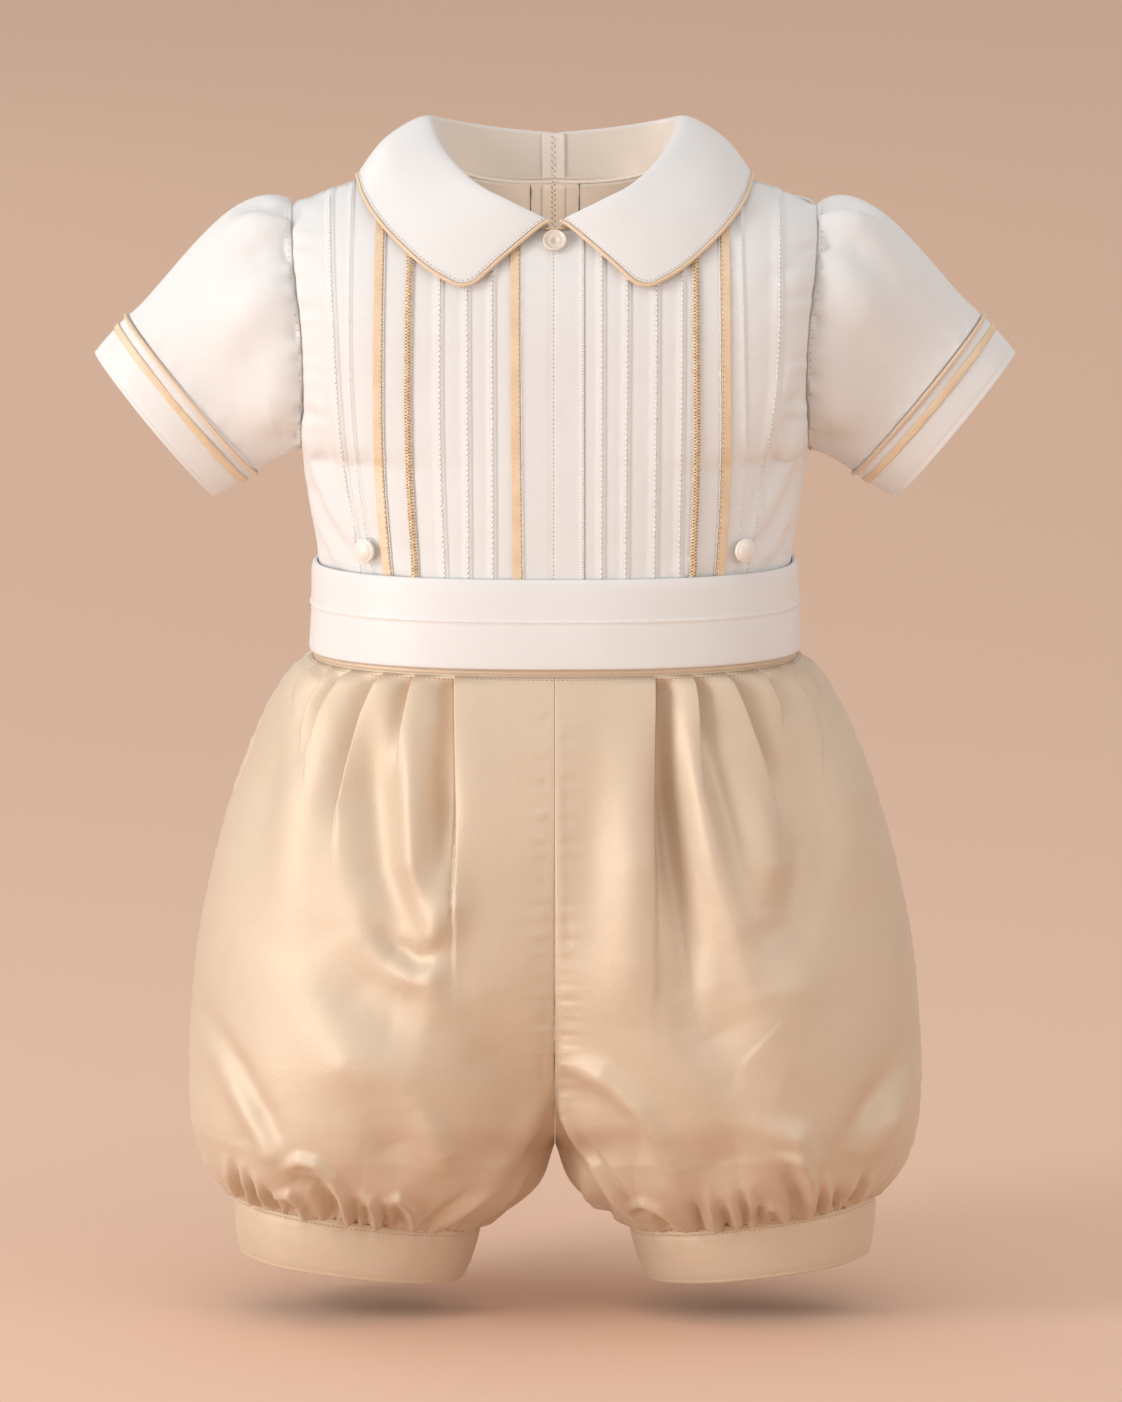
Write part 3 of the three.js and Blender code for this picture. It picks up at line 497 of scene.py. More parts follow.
def shirtPoint(x, z, face):
    read = shirt["sections"]
    depth = read["front"](z) if face < 0 else read["back"](z)
    under = np.clip((shirt["armholeMidZ"] - z) / (shirt["armholeMidZ"] - shirt["underarmZ"]), 0, 1)
    edge = shirt["armholeDepth"] * np.sqrt(1 - under ** 2)
    across = np.minimum(np.abs(x) / read["half"](z), 1)
    full = edge + (depth - edge) * (1 - across ** shirt["fullness"]) ** (1 / shirt["fullness"])
    over = np.clip((z - shirt["armholeMidZ"]) / (shirt["shoulder"](np.abs(x)) - shirt["armholeMidZ"]), 0, 1)
    lean = shirt["shoulderSeamY"] * over ** 4
    y = lean + (face * full - lean) * np.sqrt(1 - over ** 2)
    return points(x, y + face * seamGap / 2, z)


def shirtNormal(x, z, face, step=0.5):
    across = shirtPoint(x + step, z, face) - shirtPoint(x - step, z, face)
    up = shirtPoint(x, z + step, face) - shirtPoint(x, z - step, face)
    return -face * unit(np.cross(across, up))


def topEdge(x, face):      # the neck curve, then the shoulder seam
    drop = shirt["neckFrontDrop"] if face < 0 else shirt["neckBackDrop"]
    across = np.minimum(np.abs(x) / shirt["neckHalf"], 1)
    return shirt["shoulder"](np.abs(x)) - drop * np.sqrt(1 - across ** 2)


def trimPath(trim):
    return readCurve(shirt["trimHeights"], trim[1:5])


def sideFade(x, z):      # 1 at the side seam or armhole, falling off over a few millimetres
    return bell((shirt["sections"]["half"](z) - np.abs(x)) / 9)


def seamFade(x, z):      # the relief dies out where a panel is sewn to the next piece
    return 0.15 + 0.85 * ramp((shirt["sections"]["half"](z) - np.abs(x) + 0.3) / 3.2)


def frontHeight(sign, x, z):      # relief of a front panel: tapes, tucks, creases and puckered seams
    away, fade = sign * x, sideFade(x, z)
    total = shirt["frontCreaseGain"] * creaseHeight(away, z, frontCreases[sign])
    pucker = shirt["armholePucker"] * uneven(z, 8.5, 3 + sign)
    total += pucker * fade * ramp((z + 108) / 12) * ramp((2 - z) / 8)
    total += shirt["sidePucker"] * uneven(z, 11, 7 + sign) * fade
    for trim in frontTrims[sign]:
        kind, shoulder, half = trim[0], trim[4], trim[5] / 2
        off = away - trimPath(trim)(z)
        total += shirt["trimPull"] * uneven(z, 6.5, int(shoulder * 10)) * bell((np.abs(off) - half) / 2.6)
        if kind in ("tape", "tuck"):
            lift = shirt["tapeLift"] * (1 if kind == "tape" else 0.6 * ramp((z + 150) / 60) + 0.15)
            total += lift * ramp((half + shirt["tapeFoot"] - np.abs(off)) / shirt["tapeFoot"])
            groove = sign * (half + shirt["grooveOff"])
            total -= shirt["grooveDepth"] * bell((off - groove) / shirt["grooveWidth"])
    return total * seamFade(x, z)


def backHeight(sign, x, z):
    away = sign * x
    total = creaseHeight(away, z, backCreases)
    total += shirt["backPucker"] * uneven(z, 9, 5 + sign) * sideFade(x, z)
    total += shirt["backPull"] * uneven(z, 7, 9 + sign) * bell((away - shirt["backPlacketHalf"]) / 5)
    return total * seamFade(x, z)


def shirtFace(x, z, face, rise=0.0):      # the shirt's face with its relief, moved out by rise
    height = frontHeight if face < 0 else backHeight
    half = shirt["backPlacketHalf"]
    fromX, toX = (shirt["placketLeft"], shirt["placketRight"]) if face < 0 else (-half, half)
    relief = np.where(np.asarray(x) < 0, height(-1, x, z), height(1, x, z))
    relief = np.where((x > fromX) & (x < toX), shirt["placketLift"], relief)
    return shirtPoint(x, z, face) + shirtNormal(x, z, face) * (relief + rise)[..., None]


def panelPlace(lines, sign, face, relief):      # lines give the distance from the centre at any height
    last = len(lines) - 1

    def distance(u, z):
        at = np.clip(u, 0, 1) * last
        i = np.minimum(np.floor(at + 1e-9).astype(int), last - 1)
        values = np.stack([line(z) for line in lines])
        spot = np.arange(len(u))
        return mix(values[i, spot], values[i + 1, spot], at - i)

    def place(u, v):
        top = topEdge(distance(u, shirt["trimHeights"][3] + 0 * v), face)
        for settle in range(5):
            top = topEdge(distance(u, top), face)
        z = mix(shirt["hemZ"], top, v)
        x = sign * distance(u, z)
        normal = shirtNormal(x, z, face)
        atSide = np.abs(x) > shirt["sections"]["half"](z) - 0.6
        normal[atSide] = unit(normal[atSide] * 0.3 + np.array([sign, 0, 0]))
        return shirtPoint(x, z, face) + normal * relief(sign, x, z)[..., None]
    return place


def frontPanel(sign):
    startX = (shirt["placketRight"] if sign > 0 else -shirt["placketLeft"]) + seamGap
    lines, counts = [level(startX)], []
    for trim in frontTrims[sign]:
        path, half, foot = trimPath(trim), trim[5] / 2, shirt["tapeFoot"]
        if trim[0] in ("tape", "tuck"):
            groove = sign * (half + shirt["grooveOff"])
            offsets = [-half - foot, -half, half, half + foot, groove - 0.45, groove, groove + 0.5]
            for offset, count in zip(sorted(offsets), (4, 1, 1, 1, 1, 1, 1)):
                lines.append(lambda z, path=path, offset=offset: path(z) + offset)
                counts.append(count)
        else:
            lines.append(path)
            counts.append(5)
    outermost, half = lines[-1], shirt["sections"]["half"]
    for part, count in ((0.35, 4), (0.65, 4), (0.86, 4), (0.96, 3), (1, 3)):
        lines.append(lambda z, part=part: mix(outermost(z), half(z), part))
        counts.append(count)
    last = len(lines) - 1
    columns = [(i + np.arange(count) / count) / last for i, count in enumerate(counts)]
    columns = np.concatenate(columns + [[1]])
    place = panelPlace(lines, sign, -1, frontHeight)
    return sheetMesh(place, columns, np.sort(steppedEnds(84, 1.25)), sign, flat=(110, 185))


def backPanel(sign):
    start, half = shirt["backPlacketHalf"] + seamGap, shirt["sections"]["half"]
    count = 12
    lines = [lambda z, part=i / count: start + (half(z) - start) * np.sin(part * pi / 2)
             for i in range(count + 1)]
    place = panelPlace(lines, sign, 1, backHeight)
    return sheetMesh(place, evenSteps(count * 5), steppedEnds(70, 1.25), -sign, flat=(115, 180))


def uprightStrip(fromX, toX, face, rise, topDrop=0, columns=12, rows=80, relief=None, width=25):
    def place(u, v):
        heights = shirt["trimHeights"][3] + 0 * v
        topX = mix(fromX(heights), toX(heights), u)
        z = mix(shirt["hemZ"], topEdge(topX, face) - topDrop, v)
        x = mix(fromX(z), toX(z), u)
        extra = rise + (relief(u, z) if relief else 0 * z)
        return shirtFace(x, z, face, extra)
    return sheetMesh(place, closerAtEnds(columns, 0.6), evenSteps(rows), -face, flat=(width, 185))


print("shirt")
# the fronts and backs take the painted-shade cream on their inside faces
for sign, side in sides:
    for part, bm in (("front", frontPanel(sign)), ("back", backPanel(sign))):
        keepPiece(part + side, bm, cotton, "shirt_cotton", part + "_" + side.lower(), wall=shirt["cloth"],
                  lining=insideShadeCotton)


def placketRelief(u, z):      # folded edges stand up a little and the centre stitching pulls in
    edges = bell(u / 0.05) + bell((1 - u) / 0.05)
    return (shirt["placketEdge"] * edges - shirt["placketGroove"] * bell((u - 0.5) / 0.03)
            + shirt["placketPull"] * uneven(z, 5, 2) * bell((u - 0.5) / 0.15))


backHalf = shirt["backPlacketHalf"]
# the back placket takes the painted-shade cream on its inside face
plackets = [
    ("placketFront", "front_placket", shirt["placketLeft"], shirt["placketRight"], -1, 30, 25, None),
    ("placketBack", "back_placket", -backHalf, backHalf, 1, 24, 20, insideShadeCotton),
]
for name, node, fromX, toX, face, columns, width, lining in plackets:
    bm = uprightStrip(level(fromX), level(toX), face, shirt["placketLift"], columns=columns,
                      relief=placketRelief, width=width)
    keepPiece(name, bm, cotton, "shirt_cotton", node, wall=shirt["cloth"], lining=lining)


# Ribbons and braids lie on the fronts. A ribbon has a white cord and fine brown stitches along one side.
ribbon = {
    "cloth": 0.5, "rise": 0.75, "columns": 8, "rows": 110,
    "cordOff": 0.55, "cordRise": 0.45, "cordSize": (1.5, 0.75, 0.6), "cordPitch": 1.15,
    "stitchIn": 0.3, "stitchRise": 0.85, "stitchSize": (1.1, 0.3, 0.3), "stitchPitch": 2.1,
}
ribbonNodes = {"Left0": "ribbon_left_inner", "Left5": "ribbon_left_outer", "Right5": "ribbon_right"}
braid = {
    "strands": 3, "pitch": 3.9, "reach": 1.2, "strand": 0.36, "rise": 0.9, "over": 0.35, "steps": 760,
    "edgeOff": 1.5, "edgeRise": 0.7, "edgePitch": 1.3, "edgeSize": (1.2, 0.55, 0.5), "jitter": 0.06,
}
# Stitches along a tape and a tuck: name, rise, pitch, size and turn
seamStitches = {
    "tape": ("tapeStitches", 0.06, 2.1, (2.7, 1.1, 0.36), 0.32),
    "tuck": ("tuckStitches", 0.1, 2.2, (2.0, 0.35, 0.3), 0),
}


def alongFront(sign, offset, topDrop, rise, count=160):      # points down the front beside a path
    top = topEdge(sign * offset(4.0), -1) - topDrop
    z = np.linspace(shirt["sashCover"], top, count)      # the sash hides what is below
    x = sign * offset(z)
    return shirtFace(x, z, -1, rise)


def sewnBeads(name, path, pitch, size, material, slot, turn=0.0, face=-1, jitter=0.0):
    spots, alongs = spread(path, pitch)
    ups = shirtNormal(spots[:, 0], spots[:, 2], face)
    if jitter:
        rng = np.random.default_rng(len(name))
        spots = spots + rng.normal(0, jitter, spots.shape)
    return makePiece(name, beadMesh(spots, alongs, ups, size, turn), material, slot)


def braidMesh(sign, path, drop):      # strands that pass over and under each other
    whole = bmesh.new()
    top = topEdge(sign * path(4.0), -1) - drop
    z = np.linspace(shirt["hemZ"] + 1, top, braid["steps"])
    for strand in range(braid["strands"]):
        phase = 2 * pi * (z / braid["pitch"] + strand / braid["strands"])
        x = sign * path(z) + braid["reach"] * np.sin(phase)
        lift = (braid["rise"] + braid["over"] * np.cos(2 * phase))[:, None]
        bm = tubeMesh(shirtFace(x, z, -1, 0.0) + shirtNormal(x, z, -1) * lift, braid["strand"], 4)
        mesh = bpy.data.meshes.new("strand")
        bm.to_mesh(mesh)
        bm.free()
        whole.from_mesh(mesh)
        bpy.data.meshes.remove(mesh)
    return whole


dashes = alongFront(1, level(-0.5), 8, 0.02)
edgeCord = alongFront(1, level(shirt["placketRight"] + 0.15), 1.5, 0.3)
withPiece["placketFront"] = [
    sewnBeads("placketStitches", dashes, 1.75, (0.95, 0.3, 0.3), brownThread, "shirt_cotton"),
    sewnBeads("placketCord", edgeCord, 1.15, (1.5, 0.95, 0.6), whiteThread, "shirt_cotton", 0.5)]
for sign, side in sides:
    withPiece["front" + side] = []
    for number, trim in enumerate(frontTrims[sign]):
        kind, width, label = trim[0], trim[5], side + str(number)
        path, half = trimPath(trim), width / 2
        drop = 2 if path(0.0) > shirt["neckHalf"] else 1
        if kind == "ribbon":
            wave = lambda u, z: 0.12 * uneven(z, 9, number) * (u - 0.5) + 0.06 * uneven(z, 4, number + 9)
            leftEdge, rightEdge = (lambda z: sign * path(z) - half), (lambda z: sign * path(z) + half)
            bm = uprightStrip(leftEdge, rightEdge, -1, ribbon["rise"], drop, ribbon["columns"], ribbon["rows"],
                              wave, width)
            keepPiece("ribbon" + label, bm, goldSatin, "gold_ribbon", ribbonNodes[label], wall=ribbon["cloth"])
            # the cord and the stitches run on the side towards the centre
            cord = alongFront(sign, lambda z: path(z) - half - ribbon["cordOff"], drop, ribbon["cordRise"])
            dots = alongFront(sign, lambda z: path(z) - half + ribbon["stitchIn"], drop, ribbon["stitchRise"])
            withPiece["ribbon" + label] = [
                sewnBeads("ribbonCord" + label, cord, ribbon["cordPitch"], ribbon["cordSize"], whiteThread,
                          "shirt_cotton", 0.5 * sign),
                sewnBeads("ribbonStitches" + label, dots, ribbon["stitchPitch"], ribbon["stitchSize"],
                          brownThread, "gold_ribbon", 0.25 * sign)]
        elif kind == "braid":
            keepPiece("braid" + side, braidMesh(sign, path, drop), goldThread, "gold_braid",
                      "braid_" + side.lower())
            dots = alongFront(sign, lambda z: path(z) - braid["edgeOff"], drop, braid["edgeRise"])
            withPiece["braid" + side] = [
                sewnBeads("braidEdge" + side, dots, braid["edgePitch"], braid["edgeSize"], whiteThread,
                          "shirt_cotton", 0.5, jitter=braid["jitter"])]
        else:
            name, rise, pitch, size, turn = seamStitches[kind]
            stitches = sewnBeads(name + label, alongFront(sign, path, drop, rise), pitch, size, whiteThread,
                                 "shirt_cotton", turn * sign)
            withPiece["front" + side].append(stitches)
print("trims")

# Collar: right half from the front (0) round the neck to the back (1), roll line and outer edge.
collar = {
    "cloth": 1.2, "piping": 0.85, "pipingGap": 0.12, "pointRadius": 5.4,
    "pointRunU": 141, "pointRunV": 88, "edgeRun": 150, "fallRun": 34, "pressed": 0.3, "waves": 0.25,
    "standRise": 0.35, "notch": 0.7, "seamNotch": 0.45, "stitchIn": 0.75, "stitchPitch": 1.9,
    "rows": readTable("u rollX rollY rollZ edgeX edgeY edgeZ bulge", [
        (0, 3.4, -49.2, -7.4, 35.9, -63.2, -33.5, 0.8), (0.12, 19.4, -47, 0.4, 50.2, -58.2, -26, 1.6),
        (0.25, 31.8, -41, 6.6, 63, -49.5, -15.6, 2.6), (0.37, 43, -27, 15.8, 72.3, -39, -6, 3.2),
        (0.44, 49, -12, 23, 77.6, -26, 1.4, 3.6), (0.5, 51.6, 2, 29.3, 80.6, -3, 7, 3.8),
        (0.56, 50.6, 13, 29.4, 80.2, 15, 5.7, 3.8), (0.63, 47.2, 22, 28, 76, 29, -1.2, 3.8),
        (0.75, 36.5, 34, 25, 57, 43.6, -12.5, 3.6), (0.88, 19.5, 41, 22, 29, 50.4, -20, 3.4),
        (1, 1.2, 42.6, 20.3, 1.2, 52.8, -22.5, 3.2)]),
}


def neckSeam(u):
    angle = pi * (u - 0.5)
    centre = mix(3, 0.8, u)
    x = centre + (shirt["neckHalf"] - centre) * np.cos(angle)
    front = shirtPoint(x, topEdge(x, -1), -1)
    back = shirtPoint(x, topEdge(x, 1), 1)
    return np.where((u < 0.5)[..., None], front, back)


def easedSpline(knots, t):      # a centripetal curve through five points, as the frame's collar has
    count = knots.shape[-2]
    i = np.minimum(np.floor(t * (count - 1)).astype(int), count - 2)
    w = (t * (count - 1) - i)[..., None]
    pick = lambda j: np.take_along_axis(knots, np.clip(j, 0, count - 1)[..., None, None], -2)[..., 0, :]
    b, c = pick(i), pick(i + 1)
    a = np.where((i == 0)[..., None], 2 * b - c, pick(i - 1))
    d = np.where((i == count - 2)[..., None], 2 * c - b, pick(i + 2))
    gap = lambda p, q: np.sqrt(np.linalg.norm(q - p, axis=-1, keepdims=True))
    first, mid, last = gap(a, b), gap(b, c), gap(c, d)
    t1 = ((b - a) / first - (c - a) / (first + mid) + (c - b) / mid) * mid
    t2 = ((c - b) / mid - (d - b) / (mid + last) + (d - c) / last) * mid
    return b + t1 * w + (-3 * b + 3 * c - 2 * t1 - t2) * w ** 2 + (2 * b - 2 * c + t1 + t2) * w ** 3


def roundedCorner(u, v):      # the point of the collar is turned to a small radius
    radius, perU, perV = collar["pointRadius"], collar["pointRunU"], collar["pointRunV"]
    p = np.clip(1 - u * perU / radius, 0, 1)
    q = np.clip(1 - (1 - v) * perV / radius, 0, 1)
    near = (p > 0) & (q > 0)
    u = np.where(near, (1 - p * np.sqrt(1 - q * q / 2)) * radius / perU, u)
    v = np.where(near, 1 - (1 - q * np.sqrt(1 - p * p / 2)) * radius / perV, v)
    return u, v


def collarPlace(u, v):
    u, v = roundedCorner(np.clip(u, 0, 1), np.clip(v, 0, 1))
    read = {key: curve(u) for key, curve in collar["rows"].items()}
    seam = neckSeam(u)
    roll = points(read["rollX"], read["rollY"], read["rollZ"])
    edge = points(read["edgeX"], read["edgeY"], read["edgeZ"])
    outward = unit((edge - seam) * np.array([1, 1, 0]))
    lean = np.sum((roll - seam) * outward, -1)
    climb = roll[..., 2] - seam[..., 2]
    slant = np.hypot(lean, climb)
    seam = seam - outward * (collar["cloth"] * climb / slant)[..., None]
    seam[..., 2] += seamGap + collar["standRise"] + collar["cloth"] * np.maximum(lean, 0) / slant
    stand = mix(seam, roll, 0.55) - outward * (0.05 * slant)[..., None]
    closed = ramp((u - 0.93) / 0.07)      # the halves meet below the notch at the centre back
    stand[..., 0] -= collar["notch"] * closed
    seam[..., 0] -= collar["seamNotch"] * closed
    fall = mix(roll, edge, 0.45) + outward * read["bulge"][..., None]
    fall[..., 2] += read["bulge"] * 0.6
    return easedSpline(np.stack([seam, stand, roll, fall, edge], -2), v)


def collarRelief(u, v):      # a pressed edge and faint waves along the fall
    along, inside = u * collar["edgeRun"], (1 - v) * collar["fallRun"]
    edge = bell(inside / 1.6) + bell(along / 1.6) * ramp((v - 0.3) / 0.3)
    fall = np.sin(pi * np.clip((v - 0.45) / 0.55, 0, 1))
    return -collar["pressed"] * np.minimum(edge, 1) + collar["waves"] * uneven(along, 60, 4) * fall


def alongCollar(u, v, inside, rise, step=0.006):      # a line beside the outline, inside it or outside
    u, v = np.array(u, float), np.array(v, float)
    spot = collarPlace(u, v)
    alongU = collarPlace(u + step, v) - collarPlace(u - step, v)
    alongV = collarPlace(u, v + step) - collarPlace(u, v - step)
    normal = unit(np.cross(alongV, alongU))
    away = unit(np.cross(normal, np.gradient(spot, axis=0)))
    middle = collarPlace(u + 0.1 * (u < 0.1), v - 0.1)
    away = away * np.sign(np.sum((spot - middle) * away, -1))[..., None]
    return spot - away * inside + normal * rise


frontEdge = 0.42 + 0.58 * np.append(np.linspace(0, 0.86, 40)[:-1], np.linspace(0.86, 1, 34))
outerEdge = np.append(np.linspace(0, 0.09, 40), np.linspace(0.09, 1, 120)[1:])
outlineU = np.append(0 * frontEdge, outerEdge[1:])
outlineV = np.append(frontEdge, 0 * outerEdge[1:] + 1)
pipingPath = alongCollar(outlineU, outlineV, -collar["piping"] - collar["pipingGap"], -collar["cloth"] / 2)
edgeStitches = alongCollar(outlineU, outlineV, collar["stitchIn"], 0.02)
collarRows = np.concatenate([np.linspace(0, 0.36, 10)[:-1], np.linspace(0.36, 0.62, 18)[:-1],
                             0.62 + 0.38 * steppedEnds(20, 1.5)])
for sign, side in sides:
    place = raised(mirrored(collarPlace, sign), collarRelief, -sign)
    bm = sheetMesh(place, np.sort(1 - steppedEnds(100, 1.25)), collarRows, -sign, flat=(150, 62))
    keepPiece("collar" + side, bm, collarSatin, "white_satin", "collar_" + side.lower(), wall=collar["cloth"],
              round=0.3)
    keepPiece("collarPiping" + side, tubeMesh(flipped(pipingPath, sign), collar["piping"], 8), goldCord,
              "gold_piping", "collar_piping_" + side.lower())
    spots, alongs = spread(flipped(edgeStitches, sign), collar["stitchPitch"])
    beads = beadMesh(spots, alongs, np.cross(alongs, [0, 0, 1]), (1.15, 0.26, 0.26))
    withPiece["collar" + side] = [makePiece("collarStitches" + side, beads, brownThread, "gold_piping")]

# The neck seam is taped inside, and the strip that closes the back runs up over it.
u = np.linspace(0.02, 0.998, 140)
seam = neckSeam(u)
inward = unit((seam - points(0, 0, 0)) * np.array([1, 1, 0]))
tapePath = seam - inward * 1.05 + np.array([0, 0, 0.35])
for sign, side in sides:
    # painted shade: the neck tape is in the darker, warmer inside cream
    tape = seamTape("neckTape" + side, flipped(tapePath, sign), 0.85, insideShadeCotton, "shirt_cotton")
    withPiece["collar" + side].append(tape)

neckStrip = {
    "fromX": -5.4, "toX": 4.3, "topV": 0.44, "endZ": -52, "off": 0.75, "bow": 0.35, "zigzag": 0.55,
    "pitch": 1.5, "stitchX": -0.6,
}
standV = np.linspace(neckStrip["topV"], 0.03, 24)
onStand = collarPlace(np.full(24, 0.985), standV) + neckStrip["off"] * unit(np.array([0, -1, 0.45]))
backZ = np.linspace(-0.5, neckStrip["endZ"], 26)
backX = np.full(26, 0.5)
onBack = shirtPoint(backX, backZ, 1) - shirtNormal(backX, backZ, 1) * (shirt["cloth"] + neckStrip["off"])
stripLine = np.concatenate([onStand, onBack])
stripFar = np.concatenate([[0], np.cumsum(np.linalg.norm(np.diff(stripLine[:, 1:], axis=0), axis=1))])


def stripPlace(u, v):
    x = mix(neckStrip["fromX"], neckStrip["toX"], u)
    y, z = (np.interp(v * stripFar[-1], stripFar, stripLine[:, i]) for i in (1, 2))
    return points(x, y - neckStrip["bow"] * (x / 5) ** 2, z)


# painted shade: the neck strip is in the darker, warmer inside cream
bm = sheetMesh(stripPlace, evenSteps(8), evenSteps(60), 1, flat=(9.7, 71))
strip = makePiece("neckStrip", bm, insideShadeCotton, "shirt_cotton", wall=-0.6)
at = np.arange(2, stripFar[-1] - 2, neckStrip["pitch"])
swing = np.where(np.arange(len(at)) % 2 == 0, -1, 1) * neckStrip["zigzag"]
across = (swing + neckStrip["stitchX"] - neckStrip["fromX"]) / (neckStrip["toX"] - neckStrip["fromX"])
spots = stripPlace(across, at / stripFar[-1]) + np.array([0, -0.75, 0.1])
alongs = unit(np.stack([swing * 1.2, 0 * swing, 0 * swing + 1], -1))
bm = beadMesh(spots, alongs, np.broadcast_to([0, -1, 0], spots.shape), (1.5, 0.4, 0.35))
withPiece["placketBack"] = [strip, makePiece("neckStripStitches", bm, brownThread, "shirt_cotton")]

# A small loop of cord holds the neck button.
neckLoop = {"half": 4.2, "z": -11.2, "off": 0.9, "bow": 0.5, "radius": 0.6, "count": 24}
y = shirtPoint(np.array([0.0]), np.array([-11.5]), -1)[0, 1]
bow = neckLoop["bow"] * np.cos(np.linspace(-1.5, 1.5, neckLoop["count"]))
loopX = np.linspace(-neckLoop["half"], neckLoop["half"], neckLoop["count"])
bm = tubeMesh(points(loopX, y - neckLoop["off"] - bow, neckLoop["z"] - bow), neckLoop["radius"], 8)
withPiece["placketFront"].append(makePiece("neckLoop", bm, goldCord, "gold_piping"))
print("collar")

# Sleeves run from the armhole to a slanted end and puff at the head.
sleeve = {
    "cloth": 1.2, "endX": 148.5, "endZ": -83.4, "half": 41.6, "depth": 25, "slope": radians(39.4),
    "cuffLength": 20.6, "cuffHalf": 38.6, "cuffDepth": 23, "cuffCloth": 1.6, "cuffRun": 205,
    "pipingWidth": 1.3, "pipingRadius": 0.75, "pipingAt": 1.15, "pipingOut": 0.85,
    "ribbonFrom": 5.2, "ribbonWidth": 3, "ribbonOut": 0.75, "ribbonCloth": 0.6,
    "headGathers": 9, "headGatherDepth": 0.9, "around": 215, "down": 68, "perDegree": 0.62,
    "creaseGain": 2.6, "headPull": 1.05, "cuffPull": 0.35, "tapeIn": 1.05, "tapeRadius": 0.95,
}
sleeveAxis = np.array([cos(sleeve["slope"]), 0, -sin(sleeve["slope"])])
sleeveAcross = np.array([sin(sleeve["slope"]), 0, cos(sleeve["slope"])])


def sleeveEndPoint(angle, half, depth, beyond):
    beyond = np.broadcast_to(beyond, np.shape(angle))
    half, depth = np.broadcast_to(half, np.shape(angle)), np.broadcast_to(depth, np.shape(angle))
    centre = np.array([sleeve["endX"], 0, sleeve["endZ"]])
    return (centre + sleeveAcross * (half * np.cos(angle))[..., None] + sleeveAxis * beyond[..., None]
            + np.array([0, -1, 0]) * (depth * np.sin(angle))[..., None])


armholeTopZ = -6
for settle in range(5):
    armholeTopZ = float(shirt["shoulder"](shirt["sections"]["half"](armholeTopZ)))


def armholePoint(angle):
    middle = (armholeTopZ + shirt["underarmZ"]) / 2
    z = middle + (armholeTopZ - middle) * np.cos(angle)
    half = shirt["sections"]["half"](z)
    front, back = shirtPoint(half, z, -1), shirtPoint(half, z, 1)
    front[..., 1] += seamGap / 2
    back[..., 1] -= seamGap / 2
    spot = np.where((np.sin(angle) >= 0)[..., None], front, back)
    spot[..., 0] += seamGap + 0.1
    return spot


def sleevePlace(u, v):
    angle = 2 * pi * u
    start = armholePoint(angle)
    end = sleeveEndPoint(angle, sleeve["half"], sleeve["depth"], -seamGap)
    chord = np.linalg.norm(end - start, axis=-1, keepdims=True)
    leave = unit(points(0.9 + 0 * angle, -0.42 * np.sin(angle), 0.12 + 0.42 * np.cos(angle))) * chord * 1.05
    arrive = sleeveAxis * chord * 0.9
    t = v[..., None]
    s = 1 - t
    spot = start * s * s * (1 + 2 * t) + leave * t * s * s - arrive * t * t * s + end * t * t * (1 + 2 * s)
    head = np.maximum(np.cos(angle), 0) ** 0.7
    waves = sleeve["headGatherDepth"] * head * np.cos(sleeve["headGathers"] * angle)
    gather = waves * v * np.exp(-v * 7) * 19
    middle = points(spot[..., 0], 0 * v, mix(shirt["armholeMidZ"], sleeve["endZ"], v))
    return spot + unit(spot - middle) * gather[..., None]


# Creases by angle round the arm in degrees (0 on top, 90 in front) and millimetres from the armhole
leftSleeveCreases = [
    (-1.5, 5, [(20, 1, 0.8), (14, 12, 1), (6, 24, 0)]), (1.3, 5, [(32, 1, 0.7), (28, 14, 1), (20, 28, 0)]),
    (-1.4, 6, [(46, 2, 0.8), (50, 16, 1), (52, 34, 0)]), (1.0, 9, [(64, 4, 0.5), (74, 24, 1), (80, 50, 0)]),
    (-0.9, 9, [(84, 6, 0.4), (92, 28, 1), (98, 52, 0.2)]),
    (-0.9, 6, [(150, 4, 0.8), (146, 20, 1), (138, 44, 0.2)]),
    (0.8, 7, [(128, 4, 0.4), (124, 26, 1), (116, 50, 0)]),
]
rightSleeveCreases = [
    (-1.4, 5, [(16, 1, 0.8), (12, 14, 1), (8, 26, 0)]), (1.3, 5, [(28, 1, 0.7), (26, 16, 1), (22, 30, 0)]),
    (-1.3, 6, [(42, 2, 0.8), (46, 18, 1), (50, 36, 0)]), (0.9, 9, [(60, 4, 0.5), (70, 26, 1), (78, 52, 0)]),
    (-0.8, 10, [(82, 6, 0.4), (90, 30, 1), (98, 54, 0.2)]),
    (-1.0, 6, [(152, 4, 0.8), (148, 20, 1), (140, 46, 0.2)]),
    (0.8, 7, [(130, 4, 0.4), (126, 24, 1), (118, 48, 0)]),
]


def sleeveRelief(creases, seed):
    perDegree = sleeve["perDegree"]
    scaled = [(height, width, [(angle * perDegree, down, strength) for angle, down, strength in path])
              for height, width, path in creases]

    def relief(u, v):
        angle = u * 360
        turned = np.where(angle > 180, 360 - angle, angle)      # the back repeats the front, a little shifted
        shifted = np.where(angle > 180, turned + 9 * np.sin(np.radians(turned)), turned)
        around, down = u * sleeve["around"], v * sleeve["down"]
        left = sleeve["down"] - down
        total = creaseHeight(shifted * perDegree, down, scaled)
        pull = uneven(around, 7.5, seed) * bell(down / 6) * sleeve["headPull"]
        cuffPull = uneven(around, 12, seed + 1) * bell(left / 7) * sleeve["cuffPull"]
        return (sleeve["creaseGain"] * total + pull + cuffPull) * ramp(down / 2.5) * ramp(left / 2.5)
    return relief


